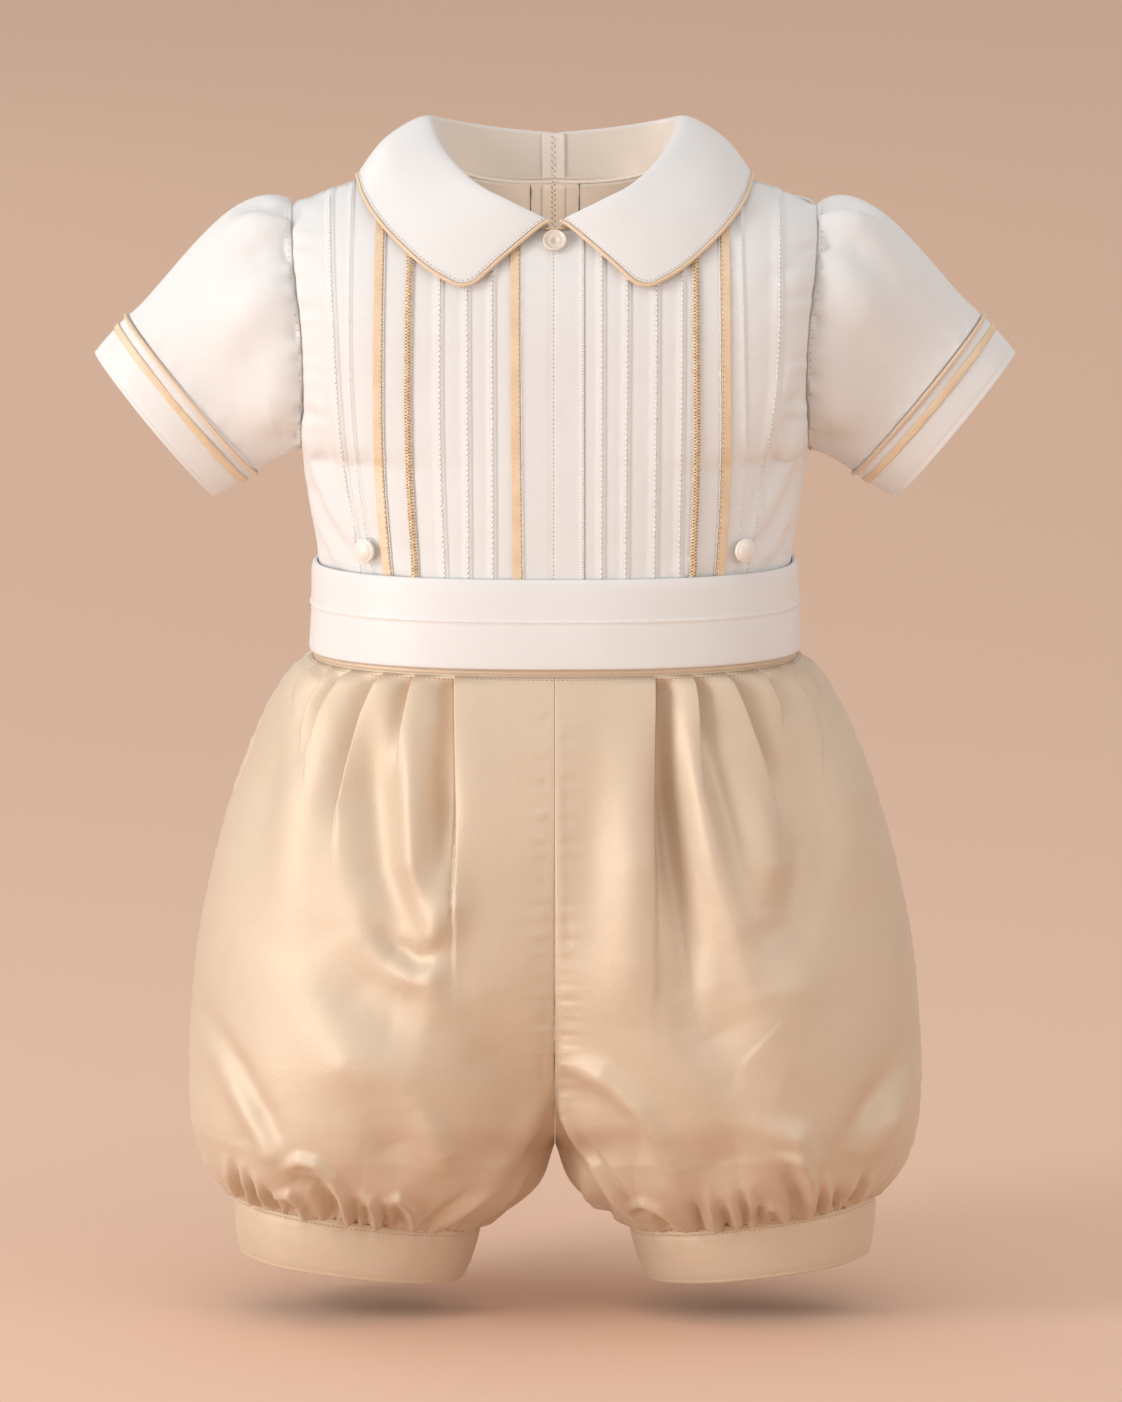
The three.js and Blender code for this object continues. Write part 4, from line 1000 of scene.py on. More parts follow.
def cuffPlace(start, end, out):
    def place(u, v):
        beyond = mix(start, end, v)
        part = beyond / sleeve["cuffLength"]
        return sleeveEndPoint(2 * pi * u, mix(sleeve["half"], sleeve["cuffHalf"], part) + out,
                              mix(sleeve["depth"], sleeve["cuffDepth"], part) + out, beyond)
    return place


def cuffRelief(seed):      # a full band with faint waves and a line of stitches near its end
    return lambda u, v: (0.35 * np.sin(pi * v) ** 0.5 + 0.25 * uneven(u * sleeve["cuffRun"], 70, seed)
                         - 0.25 * bell((v - 0.9) / 0.03))


def ribbonRelief(seed):
    return lambda u, v: 0.12 * uneven(u * sleeve["cuffRun"], 5, seed) + 0.3 * np.sin(pi * v) ** 0.5


def cuffPiping(sign):
    angle = np.linspace(0, 2 * pi, 181)
    place = cuffPlace(0.5 + sleeve["pipingWidth"] / 2, sleeve["pipingAt"], sleeve["pipingOut"])
    centres = flipped(place(angle / (2 * pi), 0 * angle), sign)
    centres[-1] = centres[0]
    bm = tubeMesh(centres, sleeve["pipingRadius"], 8, capped=False)
    bmesh.ops.remove_doubles(bm, verts=bm.verts, dist=0.2 * mm)
    return bm


def armholeTape(sign):
    angle = np.linspace(0, 2 * pi, 121)
    seam = armholePoint(angle)
    middle = points(seam[:, 0], 0 * angle, np.full(angle.shape, shirt["armholeMidZ"]))
    tape = flipped(seam + unit(middle - seam) * sleeve["tapeIn"], sign)
    tape[-1] = tape[0]
    return tape


sleeveCreases = {-1: leftSleeveCreases, 1: rightSleeveCreases}
for sign, side in sides:
    label, start, cuffRun = side.lower(), sleeve["ribbonFrom"], sleeve["cuffRun"]
    place, relief = mirrored(sleevePlace, sign), sleeveRelief(sleeveCreases[sign], 20 + sign)
    ringPiece("sleeve" + side, place, relief, sign, evenSteps(150), closerAtEnds(56, 0.55),
              (sleeve["around"], sleeve["down"]), cotton, "shirt_cotton", "sleeve_" + label,
              wall=sleeve["cloth"])
    place = mirrored(cuffPlace(seamGap, sleeve["cuffLength"], 0), sign)
    ringPiece("sleeveCuff" + side, place, cuffRelief(31 + sign), sign, evenSteps(120), closerAtEnds(26, 0.7),
              (cuffRun, 21), satin, "white_satin", "sleeve_cuff_" + label, wall=sleeve["cuffCloth"],
              round=0.4)
    keepPiece("cuffPiping" + side, cuffPiping(sign), goldCord, "gold_piping", "cuff_piping_" + label)
    place = mirrored(cuffPlace(start, start + sleeve["ribbonWidth"], sleeve["ribbonOut"]), sign)
    ringPiece("cuffRibbon" + side, place, ribbonRelief(40 + sign), sign, evenSteps(160), closerAtEnds(6, 0.5),
              (cuffRun, 3), goldSatin, "gold_ribbon", "cuff_ribbon_" + label, wall=sleeve["ribbonCloth"])
    besideSeam = sleevePlace(np.linspace(0.03, 0.5, 90), np.full(90, 0.022)) + np.array([0.15, -0.1, 0])
    withPiece["sleeve" + side] = [
        seamTape("armholeTape" + side, armholeTape(sign), sleeve["tapeRadius"], cotton, "shirt_cotton", True),
        stitchLine("armholeStitches" + side, flipped(besideSeam, sign), 3.1, (1.1, 0.3, 0.3), brownThread,
                   "shirt_cotton", 0.6)]
print("sleeves")

# Sash and waistband follow the shirt's own section and open out downward.
sash = {
    "cloth": 1.6, "topZ": -151.5, "bottomZ": -188, "outTop": 3.4, "outBottom": 5.5, "ridge": 0.47,
    "waistTopZ": -171.7, "waistBottomZ": -190.4, "waistOut": 3.6, "waistCloth": 1.3,
    "around": 560, "ridgeHeight": 0.34, "ridgeWidth": 0.017, "hemDepth": 0.12, "topTurn": 0.75,
    "sideTurn": 0.5,
}


def bandPlace(fromZ, toZ, outTop, outBottom):
    def place(u, v):
        z = mix(fromZ, toZ, v)
        angle = 2 * pi * u
        out = mix(outTop, outBottom, v)
        read = shirt["sections"]
        reach = np.minimum(np.abs(np.cos(angle)), 1)
        depth = np.where(np.sin(angle) < 0, read["front"](z), read["back"](z)) + out
        bow = (1 - reach ** shirt["fullness"]) ** (1 / shirt["fullness"])
        return points((read["half"](z) + out) * np.cos(angle), np.sign(np.sin(angle)) * depth * bow, z)
    return place


def ringColumns(count):      # columns crowd where the section turns sharply at the sides
    t = evenSteps(count)
    return t - 0.12 * np.sin(4 * pi * t) / (4 * pi) * 2


def sashRelief(u, v):
    around, offRidge = u * sash["around"], v - sash["ridge"]
    rounded = 0.6 * (np.clip(v * (1 - v) * 4, 0, 1) ** 0.25 - 1)
    ridge = sash["ridgeHeight"] * bell(offRidge / sash["ridgeWidth"]) - 0.12 * bell((offRidge - 0.04) / 0.02)
    atSides = ramp((np.abs(np.cos(2 * pi * u)) - 0.93) / 0.055)      # the top edge lies close at the sides
    turned = (sash["topTurn"] + sash["sideTurn"] * atSides) * bell(v / 0.05)
    hems = -sash["hemDepth"] * bell((v - 0.07) / 0.012) - turned
    broad = 0.3 * uneven(around, 90, 11) * np.sin(pi * v)
    waves = broad + 0.06 * uneven(around, 17, 12) * bell(offRidge / 0.16)
    return rounded + ridge + hems + waves


def waistRelief(u, v):
    return 0.12 * uneven(u * sash["around"], 8, 13) * v


sashPlace = bandPlace(sash["topZ"], sash["bottomZ"], sash["outTop"], sash["outBottom"])
waistPlace = bandPlace(sash["waistTopZ"], sash["waistBottomZ"], 0, sash["waistOut"])
rows = np.unique(np.concatenate([closerAtEnds(16, 0.75), np.linspace(0.41, 0.53, 13)]))
ringPiece("sashBand", sashPlace, sashRelief, -1, ringColumns(240), rows, (565, 37), satin, "white_satin",
          "sash", step=0.001, wall=sash["cloth"])
ringPiece("waistBand", waistPlace, waistRelief, -1, ringColumns(220), evenSteps(14), (555, 19), champagne,
          "champagne_satin", "shorts_waistband", step=0.001, wall=sash["waistCloth"])
around = np.linspace(0, 1, 481)
ridgeLine = raised(sashPlace, sashRelief, -1, True, 0.001)(around, np.full(481, sash["ridge"] + 0.004))
withPiece["sashBand"] = [
    stitchLine("sashStitches", ridgeLine, 2.0, (1.5, 0.5, 0.45), whiteThread, "white_satin", 0.3, (0, 0, 1))]
tapePath = waistPlace(around, np.full(481, 1.02)) * np.array([0.99, 0.985, 1])
withPiece["waistBand"] = [seamTape("waistTape", tapePath, 1.0, champagne, "champagne_satin", True)]
print("bands")

# Shorts. Right leg from the waistband (0) to the leg cuff (1); the left one is its mirror.
shorts = {
    "cloth": 1.3, "columns": (60, 30, 26, 26, 22, 20, 32), "rows": 132, "foldDepth": 1.85, "edgeLine": 1.6,
    "gatherDepth": 1.5, "seamPucker": 1.1, "seamGroove": 0.7, "sidePucker": 0.4, "puckerFromZ": -194,
    "crotchZ": -376,
    "sections": readTable("v outer outerZ innerZ middle front back fullness", [
        (0, 99.7, -191.1, -191.1, 0, 74.7, 62.7, 2.5), (0.05, 108.2, -196.5, -197.5, 0.5, 78.5, 67.5, 2.4),
        (0.13, 117.8, -212, -213, 4, 83.5, 74, 2.3), (0.24, 128, -237, -238, 12, 87.5, 80, 2.2),
        (0.37, 138.6, -268, -270, 25, 91, 86, 2.15), (0.52, 147.6, -309, -313, 43.5, 93, 90, 2.1),
        (0.66, 151.2, -346, -351, 58.5, 92, 90, 2.1), (0.76, 151.8, -369, -377, 67.6, 88, 86, 2.1),
        (0.8, 151.4, -378.8, -386.8, 73.62, 84.4, 82.4, 2.1),
        (0.825, 150.9, -384.6, -392.6, 75.18, 81.8, 79.8, 2.1), (0.84, 150.4, -388, -396, 75.25, 80, 78, 2.1),
        (0.92, 144.8, -404, -413, 76.2, 66, 65, 2.05), (1, 133.2, -416.6, -430.2, 81.7, 40.3, 40.3, 2)]),
    "cuffDistance": readCurve((0.66, 0.76, 0.84, 0.92, 1), (98, 72, 51, 30, 0)),
}

# Pleats: how far the edge stands up, how deep the cloth beside it lies, widths of both, path of (x, z)
leftPleats = [
    (1.8, 6.6, 16, 8, [(41, -190), (40.6, -236), (40.8, -284)]),
    (2.2, 5.4, 9, 5.5, [(56.5, -190), (59, -197), (62, -210), (64.5, -226)]),
    (2.2, 5.2, 8, 5.5, [(69, -190), (75, -198), (80, -209), (85, -226), (89, -244)]),
    (2.0, 4.8, 6, 5, [(81.5, -190), (88, -196), (94, -206), (100, -224)]),
    (1.6, 3.6, 4, 4, [(90.5, -190), (95, -196), (100, -204), (103.5, -216)]),
    (1.2, 2.6, 3, 3, [(96.5, -190), (102.5, -196), (107.5, -204)]),
]
rightPleats = [
    (1.8, 7.0, 16, 8, [(41, -190), (41, -236), (41.2, -292)]),
    (2.2, 5.8, 9, 6, [(56, -190), (58, -200), (59.5, -224)]),
    (2.2, 5.2, 8, 5.5, [(68.5, -190), (74, -198), (78.5, -209), (84.5, -226), (90.5, -246)]),
    (2.0, 4.6, 6, 5, [(81.5, -190), (87, -196), (92.5, -206)]),
    (1.6, 3.8, 5, 4, [(91, -190), (97.5, -196), (103, -204), (108.5, -220)]),
    (1.2, 2.6, 3, 3, [(97, -190), (103, -195), (108, -201)]),
]

# Long soft folds of each leg: height, half width, path of (x, z, strength)
leftFolds = [
    (-4.2, 10, [(76, -206, 0.2), (75, -238, 1), (71, -268, 0.8), (60, -296, 0.4)]),
    (3.2, 7, [(59, -214, 0.2), (58, -240, 1), (57, -266, 1), (50, -292, 0.5)]),
    (-2.6, 6, [(48, -218, 0.3), (47, -244, 1), (50, -270, 0.6), (52, -288, 0.2)]),
    (3.0, 8, [(45, -262, 0.2), (44, -282, 1), (48, -298, 0.7)]),
    (-2.4, 4.5, [(74, -290, 0.2), (65, -300, 1), (56, -305, 1), (47, -300, 0.6), (42, -288, 0)]),
    (2.2, 7, [(70, -296, 0), (60, -309, 0.7), (51, -312, 1), (47, -322, 0.4)]),
    (-2.8, 15, [(92, -302, 0.4), (80, -318, 1), (66, -326, 0.7), (52, -328, 0)]),
    (2.6, 12, [(97, -214, 0.3), (104, -244, 1), (108, -276, 0.6), (108, -304, 0)]),
    (-2.0, 8, [(112, -216, 0.2), (118, -240, 1), (122, -264, 0.3)]),
    (2.2, 14, [(98, -322, 0.2), (84, -346, 1), (64, -352, 0.5)]),
    (-2.6, 5, [(144, -334, 0.2), (131, -352, 0.9), (119, -372, 1), (107, -396, 0)]),
    (2.6, 7, [(140, -344, 0.2), (128, -366, 1), (116, -388, 1), (108, -402, 0)]),
    (-2.4, 8, [(138, -360, 0.4), (128, -384, 1), (120, -400, 0)]),
    (-2.2, 14, [(30, -318, 0), (22, -344, 0.8), (10, -362, 0.6)]),
    (2.0, 6, [(3, -366, 0.6), (12, -382, 1), (24, -400, 0.6), (36, -414, 0)]),
    (-1.8, 5, [(2, -374, 0.6), (9, -390, 1), (20, -406, 0)]),
    (-2.4, 10, [(74, -366, 0.3), (66, -384, 1), (60, -400, 0)]),
    (2.4, 6, [(56, -366, 0.2), (46, -386, 1), (44, -398, 0)]),
]
rightFolds = [
    (-5.0, 7, [(46, -214, 0.3), (46.5, -242, 1), (49, -270, 1), (54, -300, 0.8), (56, -330, 0.2)]),
    (3.4, 7, [(53, -212, 0.3), (57, -236, 1), (63, -262, 1), (72, -290, 0.8), (80, -318, 0.3)]),
    (-2.2, 6, [(62, -214, 0.4), (66, -234, 1), (74, -258, 0.3)]),
    (3.0, 9, [(74, -226, 0.3), (82, -252, 1), (86, -268, 1), (84, -284, 0.3)]),
    (-2.2, 9, [(98, -232, 0.3), (102, -262, 1), (96, -292, 0.6), (84, -304, 0)]),
    (2.4, 12, [(30, -228, 0.2), (32, -266, 1), (32, -306, 0.7), (28, -332, 0)]),
    (-1.6, 12, [(18, -216, 0.3), (16, -254, 0.8), (14, -296, 0.4)]),
    (2.4, 16, [(84, -296, 0.2), (92, -318, 1), (86, -340, 0.6)]),
    (-3.0, 13, [(58, -318, 0.3), (66, -336, 1), (74, -350, 0.6), (92, -356, 0)]),
    (2.0, 10, [(112, -216, 0.4), (120, -244, 1), (126, -276, 0.3)]),
    (2.4, 5.5, [(2, -348, 0.5), (18, -354, 1), (34, -368, 1), (46, -388, 1), (58, -410, 0)]),
    (-2.2, 7, [(4, -358, 0.4), (20, -366, 1), (34, -382, 1), (46, -402, 0)]),
    (2.2, 4.5, [(1, -368, 0.7), (10, -380, 1), (22, -398, 1), (36, -416, 0)]),
    (-2.0, 4.5, [(1, -377, 0.6), (10, -392, 1), (22, -408, 0)]),
    (-2.6, 11, [(72, -372, 0.2), (70, -390, 1), (76, -402, 0)]),
    (2.6, 5.5, [(84, -374, 0.2), (98, -380, 1), (104, -392, 0.6), (98, -404, 0)]),
    (-2.4, 6, [(142, -352, 0.2), (130, -368, 1), (118, -388, 0.8), (112, -402, 0)]),
    (2.4, 6, [(146, -358, 0.2), (137, -378, 1), (126, -398, 0)]),
]


def backFolds(folds):      # the back repeats the folds in front, lower, softer and wider
    return [(height * 0.9, width * 1.1, [(x, z - 4, strength) for x, z, strength in path])
            for height, width, path in folds]


# Loops and pinched folds just above the leg cuffs: height, half width, path of (x, z, strength)
leftGathers = [
    (2.6, 2.3, [(108.8, -392.9, 0.3), (103.7, -389.2, 1), (97.3, -390.3, 1), (90.5, -396.6, 1),
                (87.1, -404.5, 1), (85.3, -413.9, 1), (85.1, -422.3, 0.6)]),
    (-3.6, 3.2, [(104.1, -399.3, 0.4), (97.6, -401.3, 1), (92.2, -410.8, 1), (90, -421.3, 0.6)]),
    (2.3, 1.8, [(113.8, -408.7, 0.4), (108.4, -406.1, 1), (103.7, -411.8, 1), (102.3, -420.2, 0.7)]),
    (-2.6, 2.0, [(111.5, -412.9, 0.6), (107.1, -416.6, 1)]),
    (-2.8, 1.5, [(82.2, -407.6, 0), (82.2, -424.3, 1)]),
    (2.4, 2.0, [(80.1, -405, 0.3), (75.7, -407.6, 1), (73.4, -413.9, 1), (73.2, -424.3, 0.7)]),
    (-2.8, 1.6, [(77.9, -412.9, 0.5), (77.3, -424.3, 1)]),
    (-2.4, 1.5, [(70.1, -411.8, 0.3), (69.9, -425.2, 1)]),
    (2.3, 2.0, [(68.3, -408.7, 0.3), (63.8, -406.1, 1), (59, -412.9, 1), (58, -424.3, 0.6)]),
    (-2.4, 2.2, [(65.2, -413.9, 0.6), (63.3, -422.3, 1)]),
    (2.4, 2.4, [(51.4, -427.2, 0.5), (44.8, -421.3, 1), (35.6, -412.9, 1), (22.8, -403.4, 0)]),
    (-2.6, 2.0, [(44.8, -427.2, 0.6), (31.6, -415, 1), (19.2, -406.6, 0)]),
    (-2.2, 2.0, [(55.5, -424.3, 0.8), (43.8, -412.9, 1), (33.1, -403.4, 0)]),
    (2.0, 2.0, [(27.5, -421.3, 0.4), (17.6, -412.9, 1), (5.3, -396.6, 0)]),
    (-2.0, 2.0, [(21.7, -420.2, 0.4), (10.2, -405.5, 1), (3.6, -395, 0)]),
    (2.0, 1.7, [(136.4, -391.9, 0), (133.6, -401.3, 1), (129.9, -411.8, 1)]),
    (-2.2, 1.3, [(133.2, -394, 0), (129.6, -404.5, 1), (126.7, -413.9, 1)]),
    (2.0, 1.7, [(130.8, -394, 0), (126.7, -404.5, 1), (123.5, -415, 1)]),
    (-2.2, 1.3, [(127.7, -397.1, 0), (123.5, -406.6, 1), (120.6, -416, 1)]),
    (2.0, 1.7, [(123.6, -398.2, 0), (119.9, -407.6, 1), (117.4, -417.1, 1)]),
    (-2.0, 1.4, [(118.9, -403.4, 0), (116, -411.8, 1), (114.1, -418.1, 1)]),
]
rightGathers = [
    (2.3, 2.1, [(31.6, -412.9, 0.3), (36.9, -410.8, 1), (43.1, -412.9, 1), (49.7, -418.1, 1),
                (54.7, -424.3, 0.6)]),
    (-2.6, 2.2, [(34.9, -417.1, 0.6), (41.5, -418.1, 1), (46.5, -424.3, 1)]),
    (-2.6, 1.7, [(55.3, -406.6, 0), (58.3, -416, 1), (59.7, -425.2, 1)]),
    (2.2, 2.0, [(60.9, -400.3, 0), (64.4, -411.8, 1), (66.3, -425.2, 0.8)]),
    (-2.4, 1.4, [(68.8, -407.6, 0), (70.8, -425.2, 1)]),
    (2.1, 1.8, [(71.6, -405.5, 0.2), (73.9, -413.9, 1), (76.1, -425.2, 0.8)]),
    (-2.4, 1.3, [(76.6, -406.6, 0), (78.6, -424.3, 1)]),
    (2.3, 1.8, [(79.7, -402.4, 0.2), (80.8, -412.9, 1), (81.1, -424.3, 0.8)]),
    (-2.2, 1.4, [(83.7, -412.9, 0.6), (84.3, -423.3, 1)]),
    (2.1, 1.8, [(85.3, -413.9, 0.3), (88.5, -410.3, 1), (92.7, -413.9, 1), (94.6, -422.3, 0.6)]),
    (-2.2, 1.8, [(89.1, -416, 0.6), (90.1, -423.3, 1)]),
    (2.5, 2.6, [(89.2, -386.5, 0.2), (98.1, -388.7, 1), (102.8, -396.1, 1), (105.2, -406.6, 1),
                (104, -420.2, 0.6)]),
    (-3.0, 3.0, [(95.9, -397.1, 0.5), (99.1, -408.7, 1), (99.1, -420.2, 0.6)]),
    (-2.4, 1.5, [(107.5, -401.3, 0), (108.9, -418.1, 1)]),
    (2.1, 1.8, [(109.8, -396.1, 0), (111.8, -407.6, 1), (111.3, -418.1, 0.7)]),
    (-2.0, 1.4, [(114.9, -401.3, 0), (115.4, -417.1, 1)]),
    (1.9, 1.8, [(117.7, -411.8, 1), (121.5, -404.5, 1), (126.1, -395, 0)]),
    (-2.0, 1.5, [(121, -413.9, 1), (125.6, -405.5, 1), (128.6, -398.2, 0)]),
    (1.8, 1.6, [(123.9, -412.9, 1), (128.1, -405.5, 0.8), (131.1, -399.3, 0)]),
    (2.1, 2.2, [(2.1, -369.1, 0), (12.3, -388.7, 1), (26.7, -410.8, 1), (35, -421.3, 0.4)]),
    (-2.2, 2.0, [(4.5, -367.4, 0), (16.7, -388.7, 1), (31.6, -411.8, 1)]),
    (1.9, 2.0, [(18.5, -423.3, 0.5), (14.4, -411.8, 1), (7, -395, 0)]),
    (-2.0, 1.8, [(23.5, -424.3, 0.6), (19.3, -412.9, 1), (11.1, -395, 0)]),
]


def gatherCells(seed, count, lengths, depths):      # gathers of uneven width, length and height
    rng = random.Random(seed)
    edges = np.cumsum([0] + [rng.uniform(0.5, 1.6) for _ in range(count)])
    edges = edges / edges[-1]
    lengths = np.array([rng.uniform(*lengths) for _ in range(count)])
    depths = np.array([rng.uniform(*depths) for _ in range(count)])

    def height(u, down):
        lean = 0.02 * np.sin(2 * pi * u * 1.7 + seed) + 0.012 * np.sin(2 * pi * u * 4.1 + 2 * seed)
        at = np.clip(u + lean * down / 16, 0, 0.99999)
        i = np.clip(np.searchsorted(edges, at, side="right") - 1, 0, count - 1)
        t = (at - edges[i]) / (edges[i + 1] - edges[i])
        return depths[i] * (np.sin(pi * t) ** 0.8 - 0.5) * bell(down / lengths[i])
    return height


def legAngle(read, x):      # the angle of x round a leg's half section, 0 at the inside
    return np.arccos(np.clip((read["middle"] - x) / (read["outer"] - read["middle"]), -1, 1))


def legBase(face):
    def place(u, v):
        read = {key: curve(v) for key, curve in shorts["sections"].items()}
        width = read["outer"] - read["middle"]
        start = legAngle(read, seamGap / 2)
        reach = mix(1, 4, ramp((v - 0.5) / 0.3))      # near the crotch only the columns by the centre slide
        angle = pi * u + start * (1 - u) ** reach
        across = np.abs(np.cos(angle))
        bow = np.maximum(1 - across ** read["fullness"], 0) ** (1 / read["fullness"])
        depth = read["front"] if face < 0 else read["back"]
        x = read["middle"] - width * np.cos(angle)
        inside = np.maximum(read["middle"] - width, 0)
        part = np.clip((x - inside) / (read["outer"] - inside), 0, 1)
        return points(x, face * (depth * bow + seamGap / 2), mix(read["innerZ"], read["outerZ"], part))
    return place


def pleatX(path):
    return readCurve([z for x, z in path[::-1]], [x for x, z in path[::-1]])


def legColumns(pleats):      # columns follow the pleats above and even out towards the gathers
    counts = shorts["columns"]
    total = sum(counts)
    local = [i + closerAtEnds(count, 0.72)[:-1] for i, count in enumerate(counts)]
    local = np.concatenate(local + [[len(counts)]])

    def column(s, v):
        read = {key: shorts["sections"][key](v) for key in ("outer", "middle", "innerZ")}
        start = legAngle(read, seamGap / 2)
        lines = [0 * v]
        for pleat in pleats:
            x = np.minimum(pleatX(pleat[4])(read["innerZ"]), read["outer"] - 1.2)
            lines.append((legAngle(read, x) - start) / (pi - start))
        lines = np.maximum.accumulate(np.stack(lines + [0 * v + 1]), axis=0)
        index = np.rint(s * total).astype(int)
        i = np.minimum(np.floor(local[index]).astype(int), len(counts) - 1)
        spot = np.arange(len(s))
        pinned = mix(lines[i, spot], lines[i + 1, spot], local[index] - i)
        return mix(pinned, s, ramp((v - 0.2) / 0.3))
    return column


def pleatHeight(x, z, pleats):      # the cloth stands up to a pleat's edge and drops behind it
    total = 0 * x
    for rise, sink, soft, trough, path in pleats:
        off = x - pleatX(path)(z)
        along = np.clip((path[0][1] - z) / (path[0][1] - path[-1][1]), 0, 3)
        strength = np.exp(-along ** 4)
        step = ramp(off / 0.9 + 0.5)
        total += strength * ((1 - step) * rise * bell(off / soft) - step * sink * bell(off / trough))
        total -= strength * ramp(1.5 - along) * shorts["edgeLine"] * bell((off - 0.5) / 0.55)
    return total


def legRelief(pleats, folds, gathers, seed):
    fine = gatherCells(seed, 34, (4, 9), (1.8, 3.4))
    middle = gatherCells(seed + 1, 15, (10, 24), (1.2, 2.6))
    wide = gatherCells(seed + 2, 7, (26, 50), (1.0, 2.6))

    def relief(u, v, spot):
        x, z = np.abs(spot[..., 0]), spot[..., 2]
        total = pleatHeight(x, z, pleats)
        total *= ramp((shorts["sections"]["outerZ"](0.0) - z) / 4) * 0.8 + 0.2
        total += shorts["foldDepth"] * creaseHeight(x, z, folds)
        down = shorts["cuffDistance"](v)
        total += (fine(u, down) + middle(u, down) + wide(u, down)) * (0.6 + 0.4 * ramp(down / 4))
        total += shorts["gatherDepth"] * creaseHeight(x, z, gathers)
        pucker = shorts["seamPucker"] * uneven(z, 5, seed) * bell(x / 8)
        pucker *= ramp((shorts["puckerFromZ"] - z) / 20)
        seam = pucker - shorts["seamGroove"] * bell(x / 1.1)
        total += seam * ramp((z - shorts["crotchZ"]) / 10)
        total += shorts["sidePucker"] * uneven(z, 9, seed + 5) * bell((1 - u) * 14)
        # the relief dies out at the seams and at both ends
        inside = np.clip(x / 4, 0, 1) * np.clip(u * 40, 0.0, 1) * np.clip((1 - u) * 30, 0.15, 1)
        ends = 0.55 + 0.45 * ramp((1 - v) * 60)
        return total * np.maximum(inside, 0.12 * ramp((z + 380) / 14)) * ends * ramp(v * 60)
    return relief


def legPlace(sign, face, pleats, folds, gathers, seed):
    base, column = legBase(face), legColumns(pleats)
    relief = legRelief(pleats, folds, gathers, seed)

    def place(s, v):
        u = column(s, v)
        spot = base(u, v)
        normal = outwardOf(base, u, v, face)
        normal[..., 2] *= 0.55
        return (spot + unit(normal) * relief(u, v, spot)[..., None]) * np.array([sign, 1, 1])
    return place


legTables = [
    (-1, -1, leftPleats, leftFolds, leftGathers, 51), (1, -1, rightPleats, rightFolds, rightGathers, 57),
    (-1, 1, rightPleats, backFolds(rightFolds[:14]), rightGathers, 63),
    (1, 1, leftPleats, backFolds(leftFolds[:15]), leftGathers, 69),
]
for sign, face, pleats, folds, gathers, seed in legTables:
    side, part = "Left" if sign < 0 else "Right", "Front" if face < 0 else "Back"
    place = legPlace(sign, face, pleats, folds, gathers, seed)
    rows = np.sort(mix(evenSteps(shorts["rows"]), steppedEnds(shorts["rows"], 1.4), 0.6))
    bm = sheetMesh(place, evenSteps(sum(shorts["columns"])), rows, sign * face, flat=(260, 262))
    node = "leg_" + part.lower() + "_" + side.lower()
    keepPiece("leg" + part + side, bm, champagne, "champagne_satin", node, wall=shorts["cloth"])
    top = place(np.linspace(0.004, 0.996, 200), np.full(200, 0.009)) + np.array([0, 0.1 * face, 0])
    withPiece["leg" + part + side] = [stitchLine("waistStitches" + part + side, top, 1.9, (1.15, 0.32, 0.32),
                                                 brownThread, "champagne_satin", up=(0, 0, 1))]
print("legs")

legCuff = {
    "cloth": 1.6, "topX": 81.7, "topZ": -423.7, "topHalf": 51.5, "topDepth": 40, "topTilt": 7.5,
    "bottomX": 84.2, "bottomZ": -447.3, "bottomHalf": 47, "bottomDepth": 36.5, "bottomTilt": 6.4,
    "around": 290, "topStitchAt": 0.085, "hemStitchAt": 0.955,
}


def legCuffPlace(u, v):
    x, z, half, depth, tilt = (mix(legCuff["top" + key], legCuff["bottom" + key], v)
                               for key in ("X", "Z", "Half", "Depth", "Tilt"))
    across = half * np.cos(2 * pi * u)
    return points(x + across, depth * np.sin(2 * pi * u), z + across * np.tan(np.radians(tilt)))


def legCuffRelief(u, v):
    around = u * legCuff["around"]
    rounded = 0.9 * (np.clip(v * (1 - v) * 4, 0, 1) ** 0.3 - 1)
    pull = 0.25 * uneven(around, 10, 81) * bell(v / 0.25) + 0.35 * uneven(around, 60, 82)
    full = rounded + 0.5 * np.sin(pi * v) + pull
    return full - 0.25 * bell((v - 0.1) / 0.03) - 0.2 * bell((v - 0.93) / 0.03)


around = np.linspace(0, 1, 361)
cuffTop = np.array([legCuff["topX"], 0, legCuff["topZ"]])
behind = (legCuffPlace(around, np.full(361, -0.02)) - cuffTop) * [0.975, 0.97, 1] + cuffTop
for sign, side in sides:
    place = mirrored(legCuffPlace, sign)
    ringPiece("legCuff" + side, place, legCuffRelief, -sign, evenSteps(170), closerAtEnds(26, 0.75), (278, 25),
              champagne, "champagne_satin", "leg_cuff_" + side.lower(), wall=legCuff["cloth"])
    surface = raised(place, legCuffRelief, -sign, ring=True)
    topLine, hemLine = (surface(around, np.full(361, legCuff[key])) for key in ("topStitchAt", "hemStitchAt"))
    withPiece["legCuff" + side] = [
        stitchLine("cuffTopStitches" + side, topLine, 1.9, (1.2, 0.34, 0.34), brownThread, "champagne_satin",
                   up=(0, 0, 1)),
        stitchLine("cuffHemStitches" + side, hemLine, 1.9, (1.0, 0.3, 0.3), goldThread, "champagne_satin",
                   up=(0, 0, 1)),
        seamTape("cuffTape" + side, flipped(behind, sign), 1.0, champagne, "champagne_satin", True)]
print("leg cuffs")

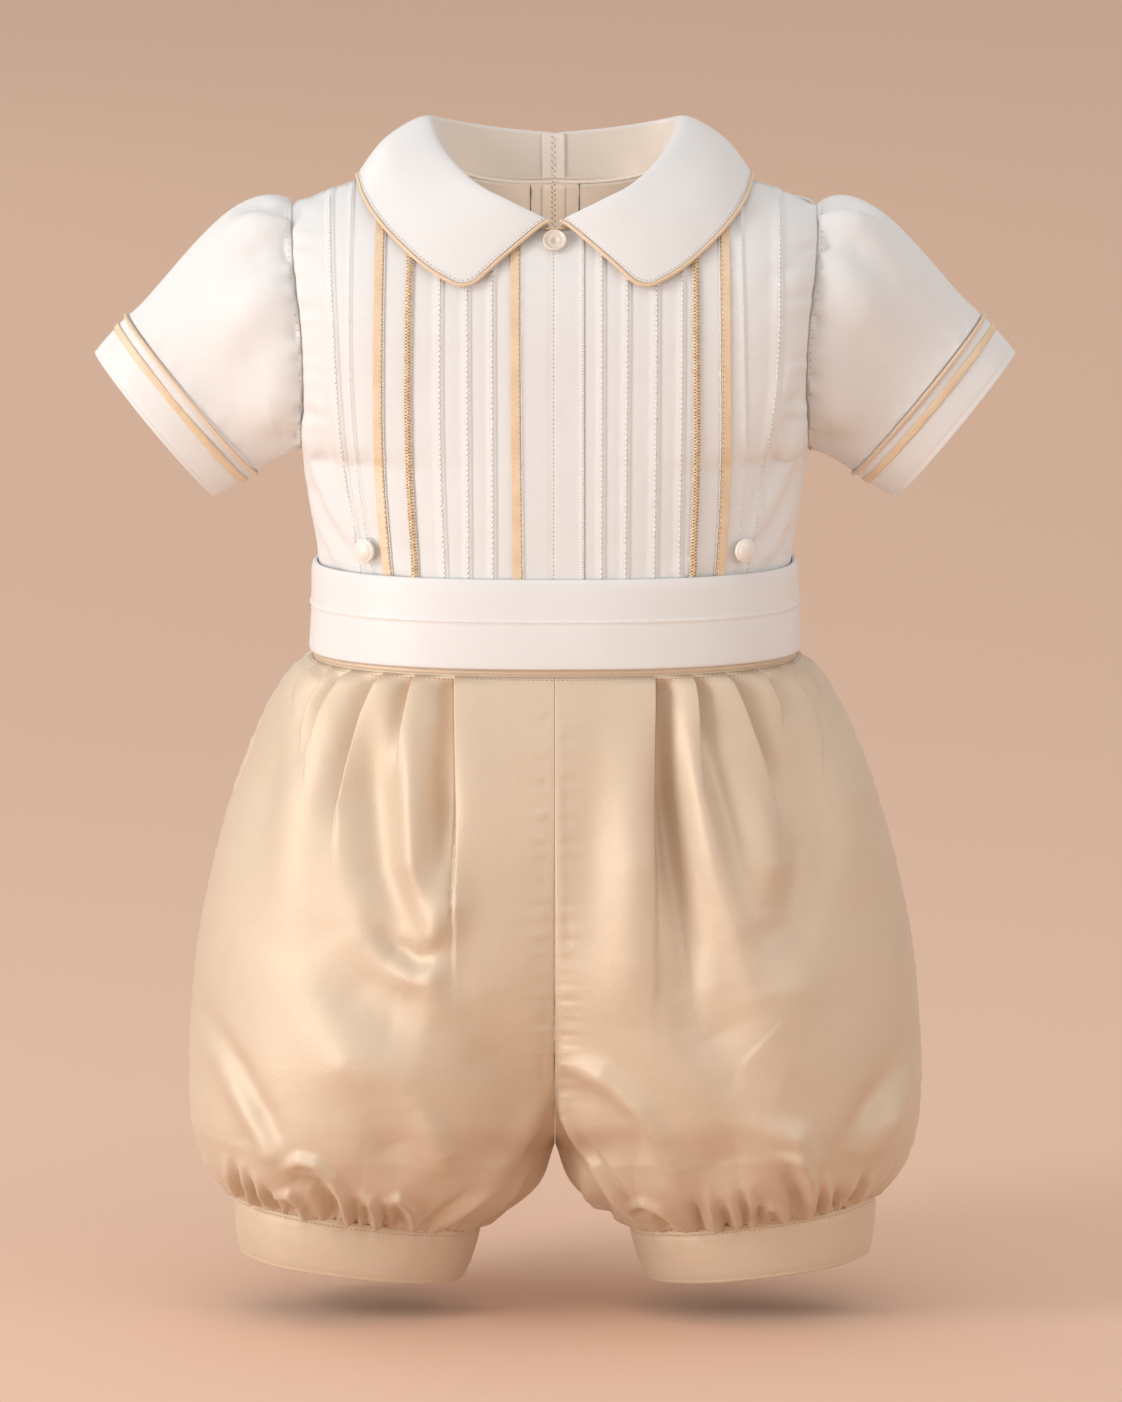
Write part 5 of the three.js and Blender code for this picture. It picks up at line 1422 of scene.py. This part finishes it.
# Buttons, turned from a profile of (radius, height)
buttons = {
    "flat": [(0, 0.2), (1.1, 0.2), (1.5, 1.25), (2.3, 1.5), (2.6, 1.3), (3.0, 1.3), (3.3, 1.55), (3.7, 1.6),
             (4.0, 2.1), (4.5, 2.3), (4.95, 1.9), (5.0, 1.1), (4.2, 0.3), (3.0, 0), (0, 0)],
    "domed": [(0, 4), (1.6, 3.9), (3.0, 3.5), (3.75, 3.0), (4.0, 2.55), (4.25, 2.6), (4.8, 2.35), (5.0, 1.6),
              (4.7, 0.8), (3.6, 0.1), (0, 0)],
}


def button(name, node, profile, x, z, face, rise, material):
    bm = bmesh.new()
    verts = [bm.verts.new((r * mm, 0, h * mm)) for r, h in buttons[profile]]
    edges = [bm.edges.new(pair) for pair in zip(verts, verts[1:])]
    bmesh.ops.spin(bm, geom=verts + edges, cent=(0, 0, 0), axis=(0, 0, 1), angle=2 * pi, steps=40,
                   use_merge=True)
    bmesh.ops.remove_doubles(bm, verts=bm.verts, dist=1e-6)
    bmesh.ops.recalc_face_normals(bm, faces=bm.faces)
    spot = shirtPoint(np.array([x]), np.array([z]), face)[0]
    normal = Vector(shirtNormal(np.array([x]), np.array([z]), face)[0])
    turn = normal.to_track_quat("Z", "Y").to_matrix().to_4x4()
    seat = Matrix.Translation((Vector(spot) + normal * rise) * mm)
    bmesh.ops.transform(bm, matrix=seat @ turn, verts=bm.verts)
    return makePiece(name, bm, material, "button", node, smooth=1)


button("collarButton", "collar_button", "flat", 0, -17, -1, 0.6, beigeButton)
button("sideButtonLeft", "side_button_left", "domed", -75.4, -141.5, -1, 1.6, pearlButton)
button("sideButtonRight", "side_button_right", "domed", 75.3, -141.5, -1, 1.6, pearlButton)
backButtonHeights = (-14, -62, -110)
for number, z in enumerate(backButtonHeights, 1):
    button("backButton" + str(number), "back_button_" + str(number), "flat", 0, z, 1, 0.6, pearlButton)
print("buttons")

# Cut of each cloth piece: width, length and area in millimetres, how it is held, what it is sewn to, trims
cuts = [
    ("frontLeft", 125, 198, 22200, "hung", ("backLeft", "placketFront"),
     ("ribbonLeft0", "ribbonLeft5", "braidLeft")),
    ("frontRight", 127, 198, 22600, "hung", ("backRight", "placketFront"), ("ribbonRight5", "braidRight")),
    ("backLeft", 122, 198, 21700, "hung", ("frontLeft", "placketBack"), ()),
    ("backRight", 122, 198, 21700, "hung", ("frontRight", "placketBack"), ()),
    ("placketFront", 22.5, 186, 4185, "hung", ("frontLeft", "frontRight"), ()),
    ("placketBack", 19.5, 190, 3705, "hung", ("backLeft", "backRight"), ()),
    ("collarLeft", 172, 68, 10400, "folded", ("frontLeft", "backLeft"), ("collarPipingLeft",)),
    ("collarRight", 172, 68, 10400, "folded", ("frontRight", "backRight"), ("collarPipingRight",)),
    ("sleeveLeft", 245, 86, 15600, "gathered", ("frontLeft", "backLeft"), ()),
    ("sleeveRight", 245, 86, 15600, "gathered", ("frontRight", "backRight"), ()),
    ("sleeveCuffLeft", 196, 21.6, 4233, "hung", ("sleeveLeft",), ("cuffPipingLeft", "cuffRibbonLeft")),
    ("sleeveCuffRight", 196, 21.6, 4233, "hung", ("sleeveRight",), ("cuffPipingRight", "cuffRibbonRight")),
    ("sashBand", 576, 36, 20736, "stretched", ("frontLeft", "frontRight", "backLeft", "backRight"), ()),
    ("waistBand", 565, 18.4, 10396, "stretched", ("sashBand",), ()),
    ("legFrontLeft", 262, 268, 59500, "gathered", ("waistBand", "legCuffLeft"), ()),
    ("legFrontRight", 262, 268, 59500, "gathered", ("waistBand", "legCuffRight"), ()),
    ("legBackLeft", 262, 268, 59500, "gathered", ("waistBand", "legCuffLeft"), ()),
    ("legBackRight", 262, 268, 59500, "gathered", ("waistBand", "legCuffRight"), ()),
    ("legCuffLeft", 278, 24.8, 6894, "hung", ("legFrontLeft", "legBackLeft"), ()),
    ("legCuffRight", 278, 24.8, 6894, "hung", ("legFrontRight", "legBackRight"), ()),
]
for name, width, length, area, held, sewnTo, trims in cuts:
    sewnOn = [suitPieces[trim] for trim in trims]
    for part in (name,) + trims:
        sewnOn += withPiece.get(part, [])
print("cuts")

# Studio: pale floor, soft light from the upper left, camera at the photograph's height and distance
studio = {
    "floorZ": -0.466, "ground": (0.83, 0.565, 0.42), "world": (1.0, 0.975, 0.955), "worldStrength": 0.62,
    "elevation": radians(8), "distance": 4.0, "target": (0.0025, 0, -0.2113), "focalPixels": 9695,
    "framePixels": 1402, "sensor": 24,
}
floorMesh = bmesh.new()
bmesh.ops.create_grid(floorMesh, x_segments=1, y_segments=1, size=40)
bmesh.ops.translate(floorMesh, verts=floorMesh.verts, vec=(0, 0, studio["floorZ"]))
mesh = bpy.data.meshes.new("floor")
floorMesh.to_mesh(mesh)
floorMesh.free()
floor = bpy.data.objects.new("floor", mesh)
bpy.context.scene.collection.objects.link(floor)
ground = bpy.data.materials.new("ground")
ground.use_nodes = True
groundShader = ground.node_tree.nodes["Principled BSDF"]
groundShader.inputs["Base Color"].default_value = (*studio["ground"], 1)
groundShader.inputs["Roughness"].default_value = 0.9
groundShader.inputs["Specular IOR Level"].default_value = 0.1
mesh.materials.append(ground)

world = bpy.data.worlds.new("studioWorld")
world.use_nodes = True
world.node_tree.nodes["Background"].inputs["Color"].default_value = (*studio["world"], 1)
world.node_tree.nodes["Background"].inputs["Strength"].default_value = studio["worldStrength"]
bpy.context.scene.world = world


def addLight(name, kind, place, target, energy, color, **settings):
    data = bpy.data.lights.new(name, kind)
    data.energy = energy
    data.color = color
    for key, value in settings.items():
        setattr(data, key, value)
    lamp = bpy.data.objects.new(name, data)
    lamp.location = place
    lamp.rotation_euler = (Vector(target) - Vector(place)).to_track_quat("-Z", "Y").to_euler()
    bpy.context.scene.collection.objects.link(lamp)


addLight("keyPanel", "AREA", (-2.25, -1.25, 0.9), (0, 0, -0.25), 27.5, (1.0, 0.995, 0.99), size=1.0)
addLight("lowPanel", "AREA", (-2.15, -1.6, -0.36), (0, 0, -0.38), 20, (0.95, 0.995, 1.0), shape="RECTANGLE",
         size=1.3, size_y=0.16)
addLight("topPanel", "AREA", (-0.2, -0.6, 2.0), (0, -0.1, -0.3), 8, (1.0, 0.985, 0.965), size=2.8)
addLight("fillPanel", "AREA", (2.2, -1.5, 0.5), (0, 0, -0.2), 11, (1.0, 0.995, 0.99), size=1.4)
addLight("floorWash", "AREA", (-3.2, 4.2, 2.4), (-1.6, 4.6, -0.45), 34, (1.0, 0.93, 0.86), size=1.6)
addLight("neckFill", "POINT", (0, -0.004, -0.03), (0, 0, -1), 0.05, (1.0, 0.9, 0.8), shadow_soft_size=0.02)

cameraData = bpy.data.cameras.new("camera")
cameraData.sensor_fit = "VERTICAL"
cameraData.sensor_height = studio["sensor"]
cameraData.lens = studio["focalPixels"] / studio["framePixels"] * studio["sensor"]
cameraData.clip_end = 100
camera = bpy.data.objects.new("camera", cameraData)
target = Vector(studio["target"])
backward = Vector((0, -cos(studio["elevation"]), sin(studio["elevation"])))
camera.location = target + studio["distance"] * backward
camera.rotation_euler = (target - camera.location).to_track_quat("-Z", "Y").to_euler()
bpy.context.scene.collection.objects.link(camera)
bpy.context.scene.camera = camera
bpy.context.scene.view_settings.view_transform = "Standard"
print("studio")
